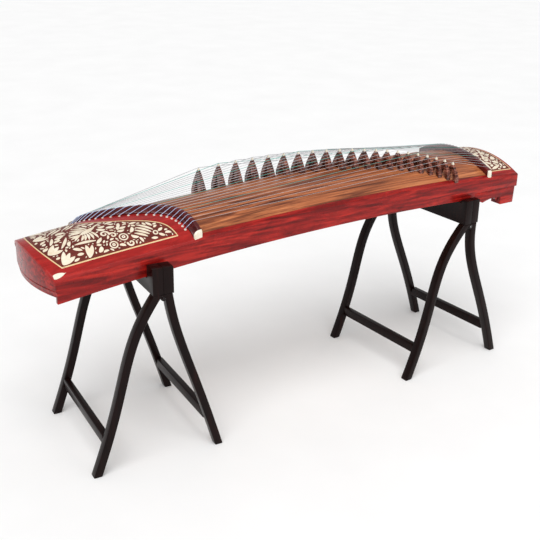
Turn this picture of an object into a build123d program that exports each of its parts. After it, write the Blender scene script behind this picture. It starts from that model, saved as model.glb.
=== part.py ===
from build123d import *

import os
from math import asin, cos, cosh, hypot, pi, radians, sin, sqrt, tanh

# A 21-string guzheng lying on two folding A-frame stands.
# Frame: +X runs from the tail to the head, -Y is the player's side, +Z is up. The origin is on
# the floor, below the middle of the instrument's length. The pieces are drawn about the middle of
# the string layout, and save() moves them to that origin. All lengths are millimetres.

# ---- driving dimensions of the instrument ----
TO_ORIGIN = (13.0, 0.0, 0.0)    # from the drawing's middle to the middle of the whole length
TAIL_X = -808.0             # corners of the tail end
HEAD_X = 812.0              # head end
TAIL_BULGE = 30.0           # how far the tail end curves out past its corners
TAIL_HALF_WIDTH = 150.0
HEAD_HALF_WIDTH = 175.5
CROWN_TAIL = 56.0           # rise of the soundboard's middle over its edges
CROWN_HEAD = 44.0
TOP_APEX_X = 300.0          # highest point of the side panels' top edges
TOP_APEX_Z = 655.0
TOP_ARCH_RADIUS = 9670.0
UNDER_APEX_X = 275.0        # highest point of the side panels' lower edges
UNDER_APEX_Z = 589.0
UNDER_ARCH_RADIUS = 8830.0

SIDE_T = 12.0
BOARD_T = 9.0
BOTTOM_T = 8.0
BOTTOM_RECESS = 6.0
BRACE_T = 14.0
BRACE_X = (-560.0, -200.0, 160.0, 500.0)
BRACE_WINDOW_Z = 62.0
BRACE_WINDOW_L = 210.0
BRACE_WINDOW_H = 44.0
BOTTOM_X0 = -786.0
STRINGING_SLOT_X = -640.0
STRINGING_SLOT_L = 200.0
STRINGING_SLOT_W = 60.0
SOUND_HOLES = ((-60.0, 60.0, 130.0), (590.0, 50.0, 110.0))     # x, size along X, size along Y
CROWN_MARGIN = 14.0         # the crowned block is this much wider than the body
CROWN_STATIONS = (-850, -430, -10, 410, 830)
BEYOND_X = 60.0             # past the body's ends
END_ALLOWANCE = 20.0        # the arched underside is drawn this far past the head
BEYOND_Y = 200.0            # past the body's sides
LOW_Z = 400.0               # below everything in the instrument
HIGH_Z = 800.0              # above everything in the instrument
GAP = 0.3                   # clearance between pieces that move apart

# ---- strings, bridges and nuts ----
STRINGS = 21
MIDDLE_STRING = 11
TAIL_PITCH = 12.3
HEAD_PITCH = 15.2
NUT_MID_X = -523.0          # the tail nut's S-curve
NUT_SWEEP = 127.0
NUT_MID_Y = 18.0
NUT_SOFTNESS = 71.0
NUT_WIDTH = 26.0
NUT_H = 18.0
NUT_SHELF_H = 5.0
EYELET_OFFSET = 20.5
EYELET_R = 3.6
EYELET_BORE_R = 1.5
EYELET_RING_BORE_R = 2.0
EYELET_H = 1.4
EYELET_DEPTH = 1.0
EYELET_ENTRY_H = 2.8
STRING_END_DEPTH = 7.5
HEAD_NUT_X0 = 674.0
HEAD_NUT_X1 = 690.0
HEAD_NUT_BACK_X = 701.5
NUT_FRONT_INSET = 4.0       # the string leaves the head nut this far behind its front face
HEAD_NUT_H = 20.0
HEAD_NUT_BASE = 14.0
STRING_HOLE_X = 696.5
STRING_HOLE_R = 1.5
CAP_T = 5.0
CAP_INSET = 0.5
THIN_STRING_R = 0.4
THICK_STRING_R = 0.85
NUT_REACH = 240             # the S is drawn this far to each side
NUT_POINT_STEP = 24
HALVINGS = 40               # steps of the search for a crossing
CORNER_CAP_R = 15.0
DECK_END_X = -300.0         # past the tail nut
STRING_LIFT = 0.5           # clear height of a string over what it crosses

# ---- bridges ----
FIRST_BRIDGE_X = 533.0
BRIDGE_STEP = 20.7
BRIDGE_STEP_GROWTH = 0.88
LAST_BRIDGE_SHIFT = 7.0     # the last bridge stands apart from the others
BRIDGE_H_FIRST = 50.0
BRIDGE_H_RISE = 18.0
BRIDGE_H_CURVE = 10.0       # extra rise that builds up towards the thickest strings
FIRST_BASE_W = 50.0
LAST_BASE_W = 60.0
BRIDGE_TOP_W = 9.0
FIRST_BASE_T = 15.0
LAST_BASE_T = 22.0
BRIDGE_TOP_T = 7.0
BRIDGE_HEEL_H = 5.0
WAIST_SHARE = 0.66          # half width at mid height over half width at the base
ARCH_WIDTH_SHARE = 0.52     # the opening between the legs
ARCH_HEIGHT_SHARE = 0.5
ARCH_TOP_R = 4.0
BONE_TIP_H = 8.0
BONE_TIP_W = 6.0
BONE_TIP_T = 2.4

# ---- pin box ----
PARTITION_X0 = 676.0
PARTITION_X1 = 692.0
END_BOARD_X0 = 790.7
END_BOARD_X1 = 802.7
PIN_BLOCK_Z0 = 593.5
PIN_BLOCK_Z1 = 617.0
PIN_ROWS_X = (722.0, 745.0, 768.0)
PIN_R = 3.0
PIN_FIT = 0.05
PIN_BOTTOM_Z = 598.0
PIN_HEAD_Z = 634.0
PIN_TOP_Z = 644.0
PIN_HEAD_W = 4.6
PIN_HEAD_TAPER = 3.0        # degrees
PIN_CHAMFER = 0.6
PIN_SIDE_STEP = 4.2         # the pin stands beside its string
WIND_Z = 630.0

# ---- lid ----
LID_X0 = 702.0
LID_AXIS_X = 807.5
LID_AXIS_Z = 639.0
LID_T = 8.0
LID_END_R = 4.0
LID_EAR_W = 11.0
LID_EAR_H = 9.0
LID_GAP = 0.4
LID_PIN_R = 2.5
LID_PIN_L = 6.0

# ---- head feet ----
BRACKET_TOP_Z = 600.0
BRACKET_X0 = 622.0
BRACKET_SCALLOPS = (        # each arc of the bracket's lower edge: middle, then end
    ((640, 573), (661, 563)),
    ((684, 570), (704, 573)),
    ((714, 571), (721, 565)),
    ((726, 571), (734, 573)),
)
BRACKET_FOOT_Z = 570.0      # where the bracket meets the foot
FOOT_X0 = 742.0
FOOT_Z = 545.0
FOOT_DEPTH = 42.0
FOOT_END_INSET = 3.0
FOOT_PAD_TOP_Z = 579.5      # just below the bottom board
END_BOARD_Z = 560.0

# ---- tail end ----
TAIL_PANEL_T = 16.0
TAIL_PANEL_INSET = 5.0
TAIL_PANEL_Z = 540.0
TAIL_BAND_Z = 559.0
TAIL_BAND_STEP = 4.0

# ---- stands ----
LEG_T = 27.0                # leg thickness along Y
LEG_W = 23.0                # leg width across its length
LEG_Y = 191.0               # middle of a leg
LEG_TOP_Z = 512.0
BOW_EXPONENT = 2.3
LEG_SPANS = 8
PIVOT_X = 25.0              # the pivot stands off the middle of the feet
PIVOT_Z = 502.0
BEAM_W = 30.0
STRETCHER_Z = 100.0
STRETCHER_H = 30.0
STRETCHER_T = 20.0
KNUCKLE_R = 9.0
KNUCKLE_PIN_R = 4.0

# One stand: place, turn about Z in degrees, feet from its middle, leg bows, and the beam's
# outline as steps outward from the middle, each (from this distance, at this height).
TAIL_STAND = {
    "name": "tail_stand",
    "x": -543.0,
    "turn": -4.0,
    "feet": (-185.0, 185.0),
    "bows": (24.0, 10.0),
    "frames": ("outer_frame", "inner_frame"),
    "steps": ((0.0, 549.3), (163.0, 588.0)),
}
HEAD_STAND = {
    "name": "head_stand",
    "x": 553.0,
    "turn": 2.5,
    "feet": (-202.5, 202.5),
    "bows": (39.0, 26.0),
    "frames": ("inner_frame", "outer_frame"),
    "steps": ((0.0, 568.0), (123.0, 582.2), (181.0, 592.0)),
}


def half_width(x):
    """Half the width of the body at x."""
    share = (x - TAIL_X) / (HEAD_X - TAIL_X)
    return TAIL_HALF_WIDTH + (HEAD_HALF_WIDTH - TAIL_HALF_WIDTH) * share


def edge_z(x):
    """Height of the side panels' top edge at x."""
    return TOP_APEX_Z - (x - TOP_APEX_X) ** 2 / (2 * TOP_ARCH_RADIUS)


def under_z(x):
    """Height of the side panels' lower edge at x."""
    return UNDER_APEX_Z - (x - UNDER_APEX_X) ** 2 / (2 * UNDER_ARCH_RADIUS)


def crown_rise(x):
    """Rise of the soundboard's middle over its edges at x."""
    share = (x - TAIL_X) / (HEAD_X - TAIL_X)
    return CROWN_TAIL + (CROWN_HEAD - CROWN_TAIL) * share


def crown_radius(x):
    """Radius of the soundboard's crown at x."""
    return (half_width(x) ** 2 + crown_rise(x) ** 2) / (2 * crown_rise(x))


def crown_z(x, y):
    """Height of the soundboard's surface at x, y."""
    radius = crown_radius(x)
    return edge_z(x) + crown_rise(x) - radius + sqrt(radius ** 2 - y ** 2)


def nut_curve(y):
    """X of the tail nut's middle line at y: an S from the near edge to the far edge."""
    return NUT_MID_X - NUT_SWEEP * tanh((y - NUT_MID_Y) / NUT_SOFTNESS)


def nut_point(y, offset):
    """Point beside the tail nut's middle line, towards the head when offset is positive."""
    slope = -NUT_SWEEP / (NUT_SOFTNESS * cosh((y - NUT_MID_Y) / NUT_SOFTNESS) ** 2)
    length = hypot(1, slope)
    return nut_curve(y) + offset / length, y - offset * slope / length


def nut_line_x(y, offset):
    """X where the line beside the tail nut crosses y."""
    low, high = y - abs(offset), y + abs(offset)
    for _ in range(HALVINGS):
        middle = (low + high) / 2
        if nut_point(middle, offset)[1] < y:
            low = middle
        else:
            high = middle
    return nut_point(low, offset)[0]


def tail_y(number):
    """Y of a string over the tail nut."""
    return (number - MIDDLE_STRING) * TAIL_PITCH


def head_y(number):
    """Y of a string over the head nut."""
    return (number - MIDDLE_STRING) * HEAD_PITCH


def string_radius(number):
    share = (number - 1) / (STRINGS - 1)
    return THIN_STRING_R + (THICK_STRING_R - THIN_STRING_R) * share


def ridge_x(number):
    """X where a string rests on the tail nut's ridge."""
    return nut_line_x(tail_y(number), NUT_WIDTH / 4)


def bridge_place(number):
    """X, Y and height of a bridge."""
    step = number - 1
    x = FIRST_BRIDGE_X - BRIDGE_STEP * step - BRIDGE_STEP_GROWTH * step ** 2
    if number == STRINGS:
        x -= LAST_BRIDGE_SHIFT
    share = (x - ridge_x(number)) / (HEAD_NUT_X0 - ridge_x(number))
    y = tail_y(number) + (head_y(number) - tail_y(number)) * share
    order = step / (STRINGS - 1)
    return x, y, BRIDGE_H_FIRST + BRIDGE_H_RISE * order + BRIDGE_H_CURVE * order ** 3


def bridge_base(number):
    """Width and thickness of a bridge at its feet."""
    order = (number - 1) / (STRINGS - 1)
    width = FIRST_BASE_W + (LAST_BASE_W - FIRST_BASE_W) * order
    return width, FIRST_BASE_T + (LAST_BASE_T - FIRST_BASE_T) * order


def pin_place(number):
    """X and Y of a tuning pin."""
    return PIN_ROWS_X[(number - 1) % len(PIN_ROWS_X)], head_y(number) + PIN_SIDE_STEP


def save(piece, name):
    """Move a finished piece to the shared origin, label it and write its STEP file."""
    placed = piece.moved(Location(TO_ORIGIN))
    placed.label = name
    export_step(placed, f"parts/{name}.step")


def group(solids, name):
    """Separate solids that share one node, written as save() does."""
    placed = [solid.moved(Location(TO_ORIGIN)) for solid in solids]
    export_step(Compound(label=name, children=placed), f"parts/{name}.step")


def crown_block(margin):
    """Everything below the crowned soundboard surface, margin wider than the body."""
    with BuildPart() as block:
        for x in CROWN_STATIONS:
            edge = half_width(x) + margin
            left, right = (-edge, crown_z(x, edge)), (edge, crown_z(x, edge))
            with BuildSketch(Plane(origin=(x, 0, 0), x_dir=(0, 1, 0), z_dir=(1, 0, 0))):
                with BuildLine():
                    ThreePointArc(left, (0, crown_z(x, 0)), right)
                    Polyline(right, (edge, LOW_Z), (-edge, LOW_Z), left)
                make_face()
        loft()
    return block.part


def raised(block, height):
    return block.moved(Location((0, 0, height)))


def tall(area):
    """A flat area in plan as a block from below the instrument to above it."""
    with BuildPart() as block:
        with BuildSketch(Plane.XY.offset(LOW_Z)):
            add(area)
        extrude(amount=HIGH_Z - LOW_Z)
    return block.part


def body_plan(x0, x1, inset):
    """Tapered outline of the body between two stations."""
    start, end = half_width(x0) - inset, half_width(x1) - inset
    with BuildSketch() as area:
        Polygon((x0, -start), (x1, -end), (x1, end), (x0, start), align=None)
    return area.sketch


def head_side(offset):
    """The area on the head side of the tail nut's line."""
    points = [nut_point(y, offset) for y in range(-NUT_REACH, NUT_REACH + 1, NUT_POINT_STEP)]
    far_x = HEAD_X + BEYOND_X
    with BuildSketch() as area:
        with BuildLine():
            Spline(*points)
            Polyline(points[-1], (far_x, points[-1][1]), (far_x, points[0][1]), points[0])
        make_face()
    return area.sketch


def above_underside(lift):
    """The region above the arched underside raised by lift."""
    x0, x1 = TAIL_X - BEYOND_X, HEAD_X + END_ALLOWANCE
    start, end = (x0, under_z(x0) + lift), (x1, under_z(x1) + lift)
    with BuildPart() as region:
        with BuildSketch(Plane.XZ):
            with BuildLine():
                ThreePointArc(start, (UNDER_APEX_X, UNDER_APEX_Z + lift), end)
                Polyline(end, (x1, HIGH_Z), (x0, HIGH_Z), start)
            make_face()
        extrude(amount=BEYOND_Y, both=True)
    return region.part


CROWN = crown_block(CROWN_MARGIN)


def shell(depth):
    """The top layer of the crowned block."""
    with BuildPart() as layer:
        add(CROWN)
        add(raised(CROWN, -depth), mode=Mode.SUBTRACT)
    return layer.part


os.makedirs("parts", exist_ok=True)
TOP_LAYER = shell(BOARD_T)

# ---- the sound box ----
with BuildPart() as soundboard:
    with BuildSketch(Plane.XY.offset(LOW_Z)):
        add(body_plan(TAIL_X, HEAD_NUT_X0, SIDE_T))
        add(head_side(0), mode=Mode.INTERSECT)
    extrude(amount=HIGH_Z - LOW_Z)
    add(TOP_LAYER, mode=Mode.INTERSECT)
save(soundboard.part, "soundboard")

eyelets = [(nut_line_x(tail_y(n), -EYELET_OFFSET), tail_y(n)) for n in range(1, STRINGS + 1)]
corners = [(TAIL_X, -TAIL_HALF_WIDTH), (TAIL_X, TAIL_HALF_WIDTH)]

with BuildPart() as deck_blank:
    with BuildSketch(Plane.XY.offset(LOW_Z)):
        with BuildLine():
            corner = TAIL_HALF_WIDTH
            ThreePointArc((TAIL_X, corner), (TAIL_X - TAIL_BULGE, 0), (TAIL_X, -corner))
            deck_end = half_width(DECK_END_X)
            Polyline((TAIL_X, -corner), (DECK_END_X, -deck_end), (DECK_END_X, deck_end), (TAIL_X, corner))
        make_face()
        add(head_side(0), mode=Mode.SUBTRACT)
    extrude(amount=HIGH_Z - LOW_Z)
    add(TOP_LAYER, mode=Mode.INTERSECT)

with BuildPart() as tail_deck:
    add(deck_blank.part)
    with BuildSketch(Plane.XY.offset(LOW_Z)):
        with Locations(*eyelets):
            Circle(EYELET_BORE_R)
        with Locations(*corners):
            Circle(CORNER_CAP_R)
    extrude(amount=HIGH_Z - LOW_Z, mode=Mode.SUBTRACT)
save(tail_deck.part, "tail_deck")

hinge_reach = half_width(LID_AXIS_X) - SIDE_T + LID_PIN_L

with BuildPart() as sides:
    add(CROWN)
    add(tall(body_plan(TAIL_X, HEAD_X, 0)), mode=Mode.INTERSECT)
    add(tall(body_plan(TAIL_X - 1, HEAD_X + 1, SIDE_T)), mode=Mode.SUBTRACT)
    add(above_underside(0), mode=Mode.INTERSECT)
    add(deck_blank.part, mode=Mode.SUBTRACT)
    with BuildSketch(Plane.XZ):
        with Locations((HEAD_X, BRACKET_TOP_Z)):
            Rectangle(HEAD_X - BRACKET_X0, BRACKET_TOP_Z - LOW_Z, align=(Align.MAX, Align.MAX))
    extrude(amount=BEYOND_Y, both=True, mode=Mode.SUBTRACT)
    with Locations((LID_AXIS_X, 0, LID_AXIS_Z)):
        Cylinder(LID_PIN_R + PIN_FIT, 2 * (hinge_reach + 1), rotation=(90, 0, 0), mode=Mode.SUBTRACT)

front_side_panel, rear_side_panel = sides.part.solids().sort_by(Axis.Y)
save(front_side_panel, "front_side_panel")
save(rear_side_panel, "rear_side_panel")

with BuildPart() as tail_end_panel:
    panel_y = TAIL_HALF_WIDTH - SIDE_T
    outer_x = TAIL_X - TAIL_BULGE + TAIL_PANEL_INSET
    for z0, z1, step in ((TAIL_PANEL_Z, TAIL_BAND_Z, TAIL_BAND_STEP), (TAIL_BAND_Z, HIGH_Z, 0)):
        with BuildSketch(Plane.XY.offset(z0)):
            with BuildLine():
                ThreePointArc((TAIL_X + step, panel_y), (outer_x + step, 0), (TAIL_X + step, -panel_y))
                inner = TAIL_X + TAIL_PANEL_T
                Polyline((TAIL_X + step, -panel_y), (inner, -panel_y))
                ThreePointArc((inner, -panel_y), (outer_x + TAIL_PANEL_T, 0), (inner, panel_y))
                Polyline((inner, panel_y), (TAIL_X + step, panel_y))
            make_face()
        extrude(amount=z1 - z0)
    add(raised(CROWN, -BOARD_T), mode=Mode.INTERSECT)
save(tail_end_panel.part, "tail_end_panel")

# The bottom board sits a little inside the side panels' lower edges. It has a stringing slot
# below the tail deck and two sound holes.
with BuildPart() as bottom_board:
    add(above_underside(BOTTOM_RECESS))
    add(above_underside(BOTTOM_RECESS + BOTTOM_T), mode=Mode.SUBTRACT)
    add(tall(body_plan(BOTTOM_X0, END_BOARD_X0, SIDE_T)), mode=Mode.INTERSECT)
    with BuildSketch(Plane.XY.offset(LOW_Z)):
        with Locations((STRINGING_SLOT_X, 0)):
            SlotOverall(STRINGING_SLOT_L, STRINGING_SLOT_W, rotation=90)
        for x, length, width in SOUND_HOLES:
            with Locations((x, 0)):
                Ellipse(length / 2, width / 2)
    extrude(amount=HIGH_Z - LOW_Z, mode=Mode.SUBTRACT)
save(bottom_board.part, "bottom_board")


def cross_brace(x0, x1, top_drop, window):
    """A board across the sound box, with an open window for the air if it is a brace."""
    with BuildPart() as brace:
        add(tall(body_plan(x0, x1, SIDE_T)))
        add(raised(CROWN, -top_drop), mode=Mode.INTERSECT)
        add(above_underside(BOTTOM_RECESS + BOTTOM_T), mode=Mode.INTERSECT)
        if window:
            middle_z = under_z(x0) + BRACE_WINDOW_Z
            with BuildSketch(Plane.YZ.offset(x0 - 1)):
                with Locations((0, middle_z)):
                    SlotOverall(BRACE_WINDOW_L, BRACE_WINDOW_H)
            extrude(amount=x1 - x0 + 2, mode=Mode.SUBTRACT)
    return brace.part


braces = [cross_brace(x - BRACE_T / 2, x + BRACE_T / 2, BOARD_T, True) for x in BRACE_X]
braces.append(cross_brace(PARTITION_X0, PARTITION_X1, HEAD_NUT_BASE, False))
group(braces, "cross_braces")

# ---- the head: foot frame, pin block and lid ----
with BuildPart() as end_board:
    add(tall(body_plan(END_BOARD_X0, END_BOARD_X1, SIDE_T)))
    add(raised(CROWN, -LID_T - LID_GAP), mode=Mode.INTERSECT)
    with BuildSketch(Plane.XY.offset(LOW_Z)):
        Rectangle(3 * HEAD_X, 2 * BEYOND_Y)
    extrude(amount=END_BOARD_Z - LOW_Z, mode=Mode.SUBTRACT)

with BuildPart() as head_foot_frame:
    with BuildSketch(Plane.XZ):
        with BuildLine():
            start = (BRACKET_X0, under_z(BRACKET_X0))
            last = start
            for middle, end in BRACKET_SCALLOPS:
                ThreePointArc(last, middle, end)
                last = end
            Polyline(last, (FOOT_X0, BRACKET_FOOT_Z), (FOOT_X0, FOOT_Z),
                     (END_BOARD_X1 - FOOT_END_INSET, FOOT_Z), (END_BOARD_X1, BRACKET_TOP_Z),
                     (BRACKET_X0, BRACKET_TOP_Z), start)
        make_face()
    extrude(amount=BEYOND_Y, both=True)
    add(tall(body_plan(BRACKET_X0, HEAD_X, 0)), mode=Mode.INTERSECT)
    add(tall(body_plan(BRACKET_X0 - 1, HEAD_X, SIDE_T)), mode=Mode.SUBTRACT)
    with BuildSketch(Plane.XY.offset(FOOT_Z)):
        add(body_plan(FOOT_X0, END_BOARD_X1 - FOOT_END_INSET, SIDE_T))
        add(body_plan(FOOT_X0 - 1, END_BOARD_X1, FOOT_DEPTH), mode=Mode.SUBTRACT)
    extrude(amount=FOOT_PAD_TOP_Z - FOOT_Z)
    add(end_board.part)
save(head_foot_frame.part, "head_foot_frame")

pins = {n: pin_place(n) for n in range(1, STRINGS + 1)}

with BuildPart() as pin_block:
    with BuildSketch(Plane.XY.offset(PIN_BLOCK_Z0)):
        add(body_plan(PARTITION_X1, END_BOARD_X0, SIDE_T))
    extrude(amount=PIN_BLOCK_Z1 - PIN_BLOCK_Z0)
    with BuildSketch(Plane.XY.offset(PIN_BOTTOM_Z - 1)):
        with Locations(*pins.values()):
            Circle(PIN_R + PIN_FIT)
    extrude(amount=PIN_BLOCK_Z1 - PIN_BOTTOM_Z + 1, mode=Mode.SUBTRACT)
save(pin_block.part, "pin_block")


def tuning_pin(place):
    """A round pin with a tapered square head for the tuning wrench."""
    with BuildPart() as pin:
        with BuildSketch(Plane(origin=(*place, PIN_BOTTOM_Z))):
            Circle(PIN_R)
        extrude(amount=PIN_HEAD_Z - PIN_BOTTOM_Z)
        with BuildSketch(Plane(origin=(*place, PIN_HEAD_Z))):
            Rectangle(PIN_HEAD_W, PIN_HEAD_W)
        extrude(amount=PIN_TOP_Z - PIN_HEAD_Z, taper=PIN_HEAD_TAPER)
        chamfer(pin.edges().group_by(Axis.Z)[0], PIN_CHAMFER)
    return pin.part


for number, place in pins.items():
    save(tuning_pin(place), f"tuning_pin_{number:02d}")

# The lid is a crowned board with two ears below its outer corners. The ears turn on short pins
# in the side panels.
ear_y = half_width(LID_AXIS_X) - SIDE_T - LID_GAP

with BuildPart() as lid_board:
    with BuildSketch(Plane.XY.offset(LOW_Z)):
        add(body_plan(LID_X0, LID_AXIS_X + LID_END_R, SIDE_T + LID_GAP))
    extrude(amount=HIGH_Z - LOW_Z)
    add(shell(LID_T), mode=Mode.INTERSECT)
    for side in (-1, 1):
        with Locations((LID_AXIS_X, side * (ear_y - LID_EAR_W / 2), LID_AXIS_Z)):
            Cylinder(LID_END_R, LID_EAR_W, rotation=(90, 0, 0))
            Box(2 * LID_END_R, LID_EAR_W, LID_EAR_H, align=(Align.CENTER, Align.CENTER, Align.MIN))
    for side in (-1, 1):
        with Locations((LID_AXIS_X, side * ear_y, LID_AXIS_Z)):
            Cylinder(LID_PIN_R, 2 * LID_PIN_L, rotation=(90, 0, 0), mode=Mode.SUBTRACT)


def lid_pin(side):
    with BuildPart() as pin:
        with Locations((LID_AXIS_X, side * ear_y, LID_AXIS_Z)):
            Cylinder(LID_PIN_R, 2 * LID_PIN_L, rotation=(90, 0, 0))
    return pin.part


group([lid_board.part, lid_pin(-1), lid_pin(1)], "head_lid")

# ---- nuts and bone trim ----
with BuildPart() as head_nut_blank:
    with BuildSketch(Plane.XZ):
        with BuildLine():
            Polyline((HEAD_NUT_X0, LOW_Z), (HEAD_NUT_X0, HIGH_Z), (HEAD_NUT_X1, HIGH_Z),
                     (HEAD_NUT_X1, LOW_Z), close=True)
        make_face()
    extrude(amount=BEYOND_Y, both=True)
    add(raised(CROWN, HEAD_NUT_H), mode=Mode.INTERSECT)
    add(CROWN, mode=Mode.SUBTRACT)

with BuildPart() as head_nut:
    add(tall(body_plan(HEAD_NUT_X0, HEAD_NUT_BACK_X, SIDE_T)))
    add(shell(HEAD_NUT_BASE), mode=Mode.INTERSECT)
    add(head_nut_blank.part)
    add(tall(body_plan(HEAD_NUT_X0 - 1, HEAD_NUT_BACK_X + 1, CAP_T)), mode=Mode.INTERSECT)
    with BuildSketch(Plane.XY.offset(LOW_Z)):
        with Locations(*[(STRING_HOLE_X, head_y(n)) for n in range(1, STRINGS + 1)]):
            Circle(STRING_HOLE_R)
    extrude(amount=HIGH_Z - LOW_Z, mode=Mode.SUBTRACT)
save(head_nut.part, "head_nut")


def nut_strip(offset, height):
    """Half of the tail nut's ribbon along the S, standing on the crowned surface."""
    with BuildPart() as strip:
        with BuildSketch(Plane.XY.offset(LOW_Z)):
            add(head_side(offset))
            add(head_side(offset + NUT_WIDTH / 2), mode=Mode.SUBTRACT)
        extrude(amount=HIGH_Z - LOW_Z)
        add(raised(CROWN, height), mode=Mode.INTERSECT)
        add(CROWN, mode=Mode.SUBTRACT)
    return strip.part


# The tail nut has a high ridge on the head side and a low shelf beside it.
with BuildPart() as tail_nut_blank:
    add(nut_strip(0, NUT_H))
    add(nut_strip(-NUT_WIDTH / 2, NUT_SHELF_H))

with BuildPart() as tail_nut:
    add(tail_nut_blank.part)
    add(tall(body_plan(TAIL_X, HEAD_X, CAP_T)), mode=Mode.INTERSECT)
save(tail_nut.part, "tail_nut")


def end_caps(blank):
    """The two ends of a nut, as the bone pieces beyond its wood."""
    with BuildPart() as caps:
        add(blank)
        add(tall(body_plan(TAIL_X, HEAD_X, CAP_INSET)), mode=Mode.INTERSECT)
        add(tall(body_plan(TAIL_X, HEAD_X, CAP_T)), mode=Mode.SUBTRACT)
    return caps.part.solids()


def eyelet(place):
    """A bone ring round a string's hole, standing square to the crowned deck."""
    x, y = place
    tilt = asin(y / crown_radius(x))
    face = Plane(origin=(x, y, crown_z(x, y)), x_dir=(1, 0, 0), z_dir=(0, sin(tilt), cos(tilt)))
    with BuildPart() as ring:
        with BuildSketch(face.offset(-EYELET_DEPTH)):
            Circle(EYELET_R)
            Circle(EYELET_RING_BORE_R, mode=Mode.SUBTRACT)
        extrude(amount=EYELET_DEPTH + EYELET_H)
        add(CROWN, mode=Mode.SUBTRACT)
    return ring.part


with BuildPart() as corner_caps:
    add(deck_blank.part)
    with BuildSketch(Plane.XY.offset(LOW_Z)):
        with Locations(*corners):
            Circle(CORNER_CAP_R)
    extrude(amount=HIGH_Z - LOW_Z, mode=Mode.INTERSECT)

bone = [*end_caps(tail_nut_blank.part), *end_caps(head_nut_blank.part), *corner_caps.part.solids()]
group(bone + [eyelet(place) for place in eyelets], "bone_trim")


# ---- bridges and strings ----
def bridge_front(number, low):
    """A bridge's front outline down to a level: curved sides, two feet and the arch between them."""
    x, y, height = bridge_place(number)
    foot_z = crown_z(x, y)
    base, top = bridge_base(number)[0] / 2, BRIDGE_TOP_W / 2
    heel, waist, wood_top = foot_z + BRIDGE_HEEL_H, foot_z + height / 2, foot_z + height - BONE_TIP_H
    inner, arch_z = base * ARCH_WIDTH_SHARE, foot_z + height * ARCH_HEIGHT_SHARE
    left, right = (-ARCH_TOP_R, arch_z - ARCH_TOP_R), (ARCH_TOP_R, arch_z - ARCH_TOP_R)
    with BuildSketch() as outline:
        with BuildLine():
            Polyline((base, low), (base, heel))
            ThreePointArc((base, heel), (base * WAIST_SHARE, waist), (top, wood_top))
            Polyline((top, wood_top), (-top, wood_top))
            ThreePointArc((-top, wood_top), (-base * WAIST_SHARE, waist), (-base, heel))
            Polyline((-base, heel), (-base, low), (base, low))
        make_face()
        with BuildLine():
            Polyline(right, (inner, foot_z), (inner, low), (-inner, low), (-inner, foot_z), left)
            ThreePointArc(left, (0, arch_z), right)
        make_face(mode=Mode.SUBTRACT)
    return outline.sketch


def bridge_body(number):
    """A bridge's wood: an A-frame that narrows upwards, with its feet cut to the soundboard."""
    x, y, height = bridge_place(number)
    foot_z = crown_z(x, y)
    base_w, base_t = bridge_base(number)
    low, heel, wood_top = foot_z - base_w / 2, foot_z + BRIDGE_HEEL_H, foot_z + height - BONE_TIP_H
    depth, top = base_t / 2, BRIDGE_TOP_T / 2
    with BuildPart() as wood:
        with BuildSketch(Plane(origin=(x, y, 0), x_dir=(0, 1, 0), z_dir=(1, 0, 0))):
            add(bridge_front(number, low))
        extrude(amount=depth, both=True)
        with BuildSketch(Plane(origin=(x, y, 0), x_dir=(1, 0, 0), z_dir=(0, -1, 0))):
            with BuildLine():
                Polyline((-depth, low), (-depth, heel), (-top, wood_top), (top, wood_top),
                         (depth, heel), (depth, low), close=True)
            make_face()
        extrude(amount=base_w, both=True, mode=Mode.INTERSECT)
        add(raised(CROWN, GAP), mode=Mode.SUBTRACT)
    return wood.part


def bridge_tip(number):
    """The bone tip that the string crosses."""
    x, y, height = bridge_place(number)
    wood_top = crown_z(x, y) + height - BONE_TIP_H
    with BuildPart() as tip:
        with BuildSketch(Plane(origin=(x, y, wood_top))):
            Rectangle(BRIDGE_TOP_T, BRIDGE_TOP_W)
        with BuildSketch(Plane(origin=(x, y, wood_top + BONE_TIP_H))):
            Rectangle(BONE_TIP_T, BONE_TIP_W)
        loft()
    return tip.part


def string_route(number):
    """The points that a string passes from its tuning pin to its hole in the tail deck."""
    y0, y1 = head_y(number), tail_y(number)
    lift = string_radius(number) + STRING_LIFT
    bridge_x, bridge_y, height = bridge_place(number)
    ridge_edge_x = nut_line_x(y1, 0)
    tail_hole_x = nut_line_x(y1, -EYELET_OFFSET)
    hole_top = crown_z(STRING_HOLE_X, y0)
    nut_top = HEAD_NUT_H + lift
    nut_front_x = HEAD_NUT_X0 + NUT_FRONT_INSET
    return [
        (pin_place(number)[0], y0, WIND_Z),
        (STRING_HOLE_X, y0, hole_top - HEAD_NUT_BASE - 1),
        (STRING_HOLE_X, y0, hole_top + 1),
        (HEAD_NUT_X1 + lift, y0, crown_z(HEAD_NUT_X1, y0) + nut_top),
        (nut_front_x, y0, crown_z(nut_front_x, y0) + nut_top),
        (bridge_x, bridge_y, crown_z(bridge_x, bridge_y) + height + lift),
        (ridge_x(number), y1, crown_z(ridge_x(number), y1) + NUT_H + lift),
        (ridge_edge_x, y1, crown_z(ridge_edge_x, y1) + NUT_H + lift),
        (tail_hole_x, y1, crown_z(tail_hole_x, y1) + EYELET_ENTRY_H),
        (tail_hole_x, y1, crown_z(tail_hole_x, y1) - STRING_END_DEPTH),
    ]


def string(number):
    """A taut string, bent square where it crosses a nut, bridge or hole."""
    route = string_route(number)
    with BuildPart() as wire:
        with BuildLine() as path:
            Polyline(*route)
        with BuildSketch(Plane(origin=route[0], z_dir=Vector(*route[1]) - Vector(*route[0]))):
            Circle(string_radius(number))
        sweep(path=path.line, transition=Transition.RIGHT)
    return wire.part


for number in range(1, STRINGS + 1):
    group([bridge_body(number), bridge_tip(number)], f"bridge_{number:02d}")
group([string(number) for number in range(1, STRINGS + 1)], "strings")


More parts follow.
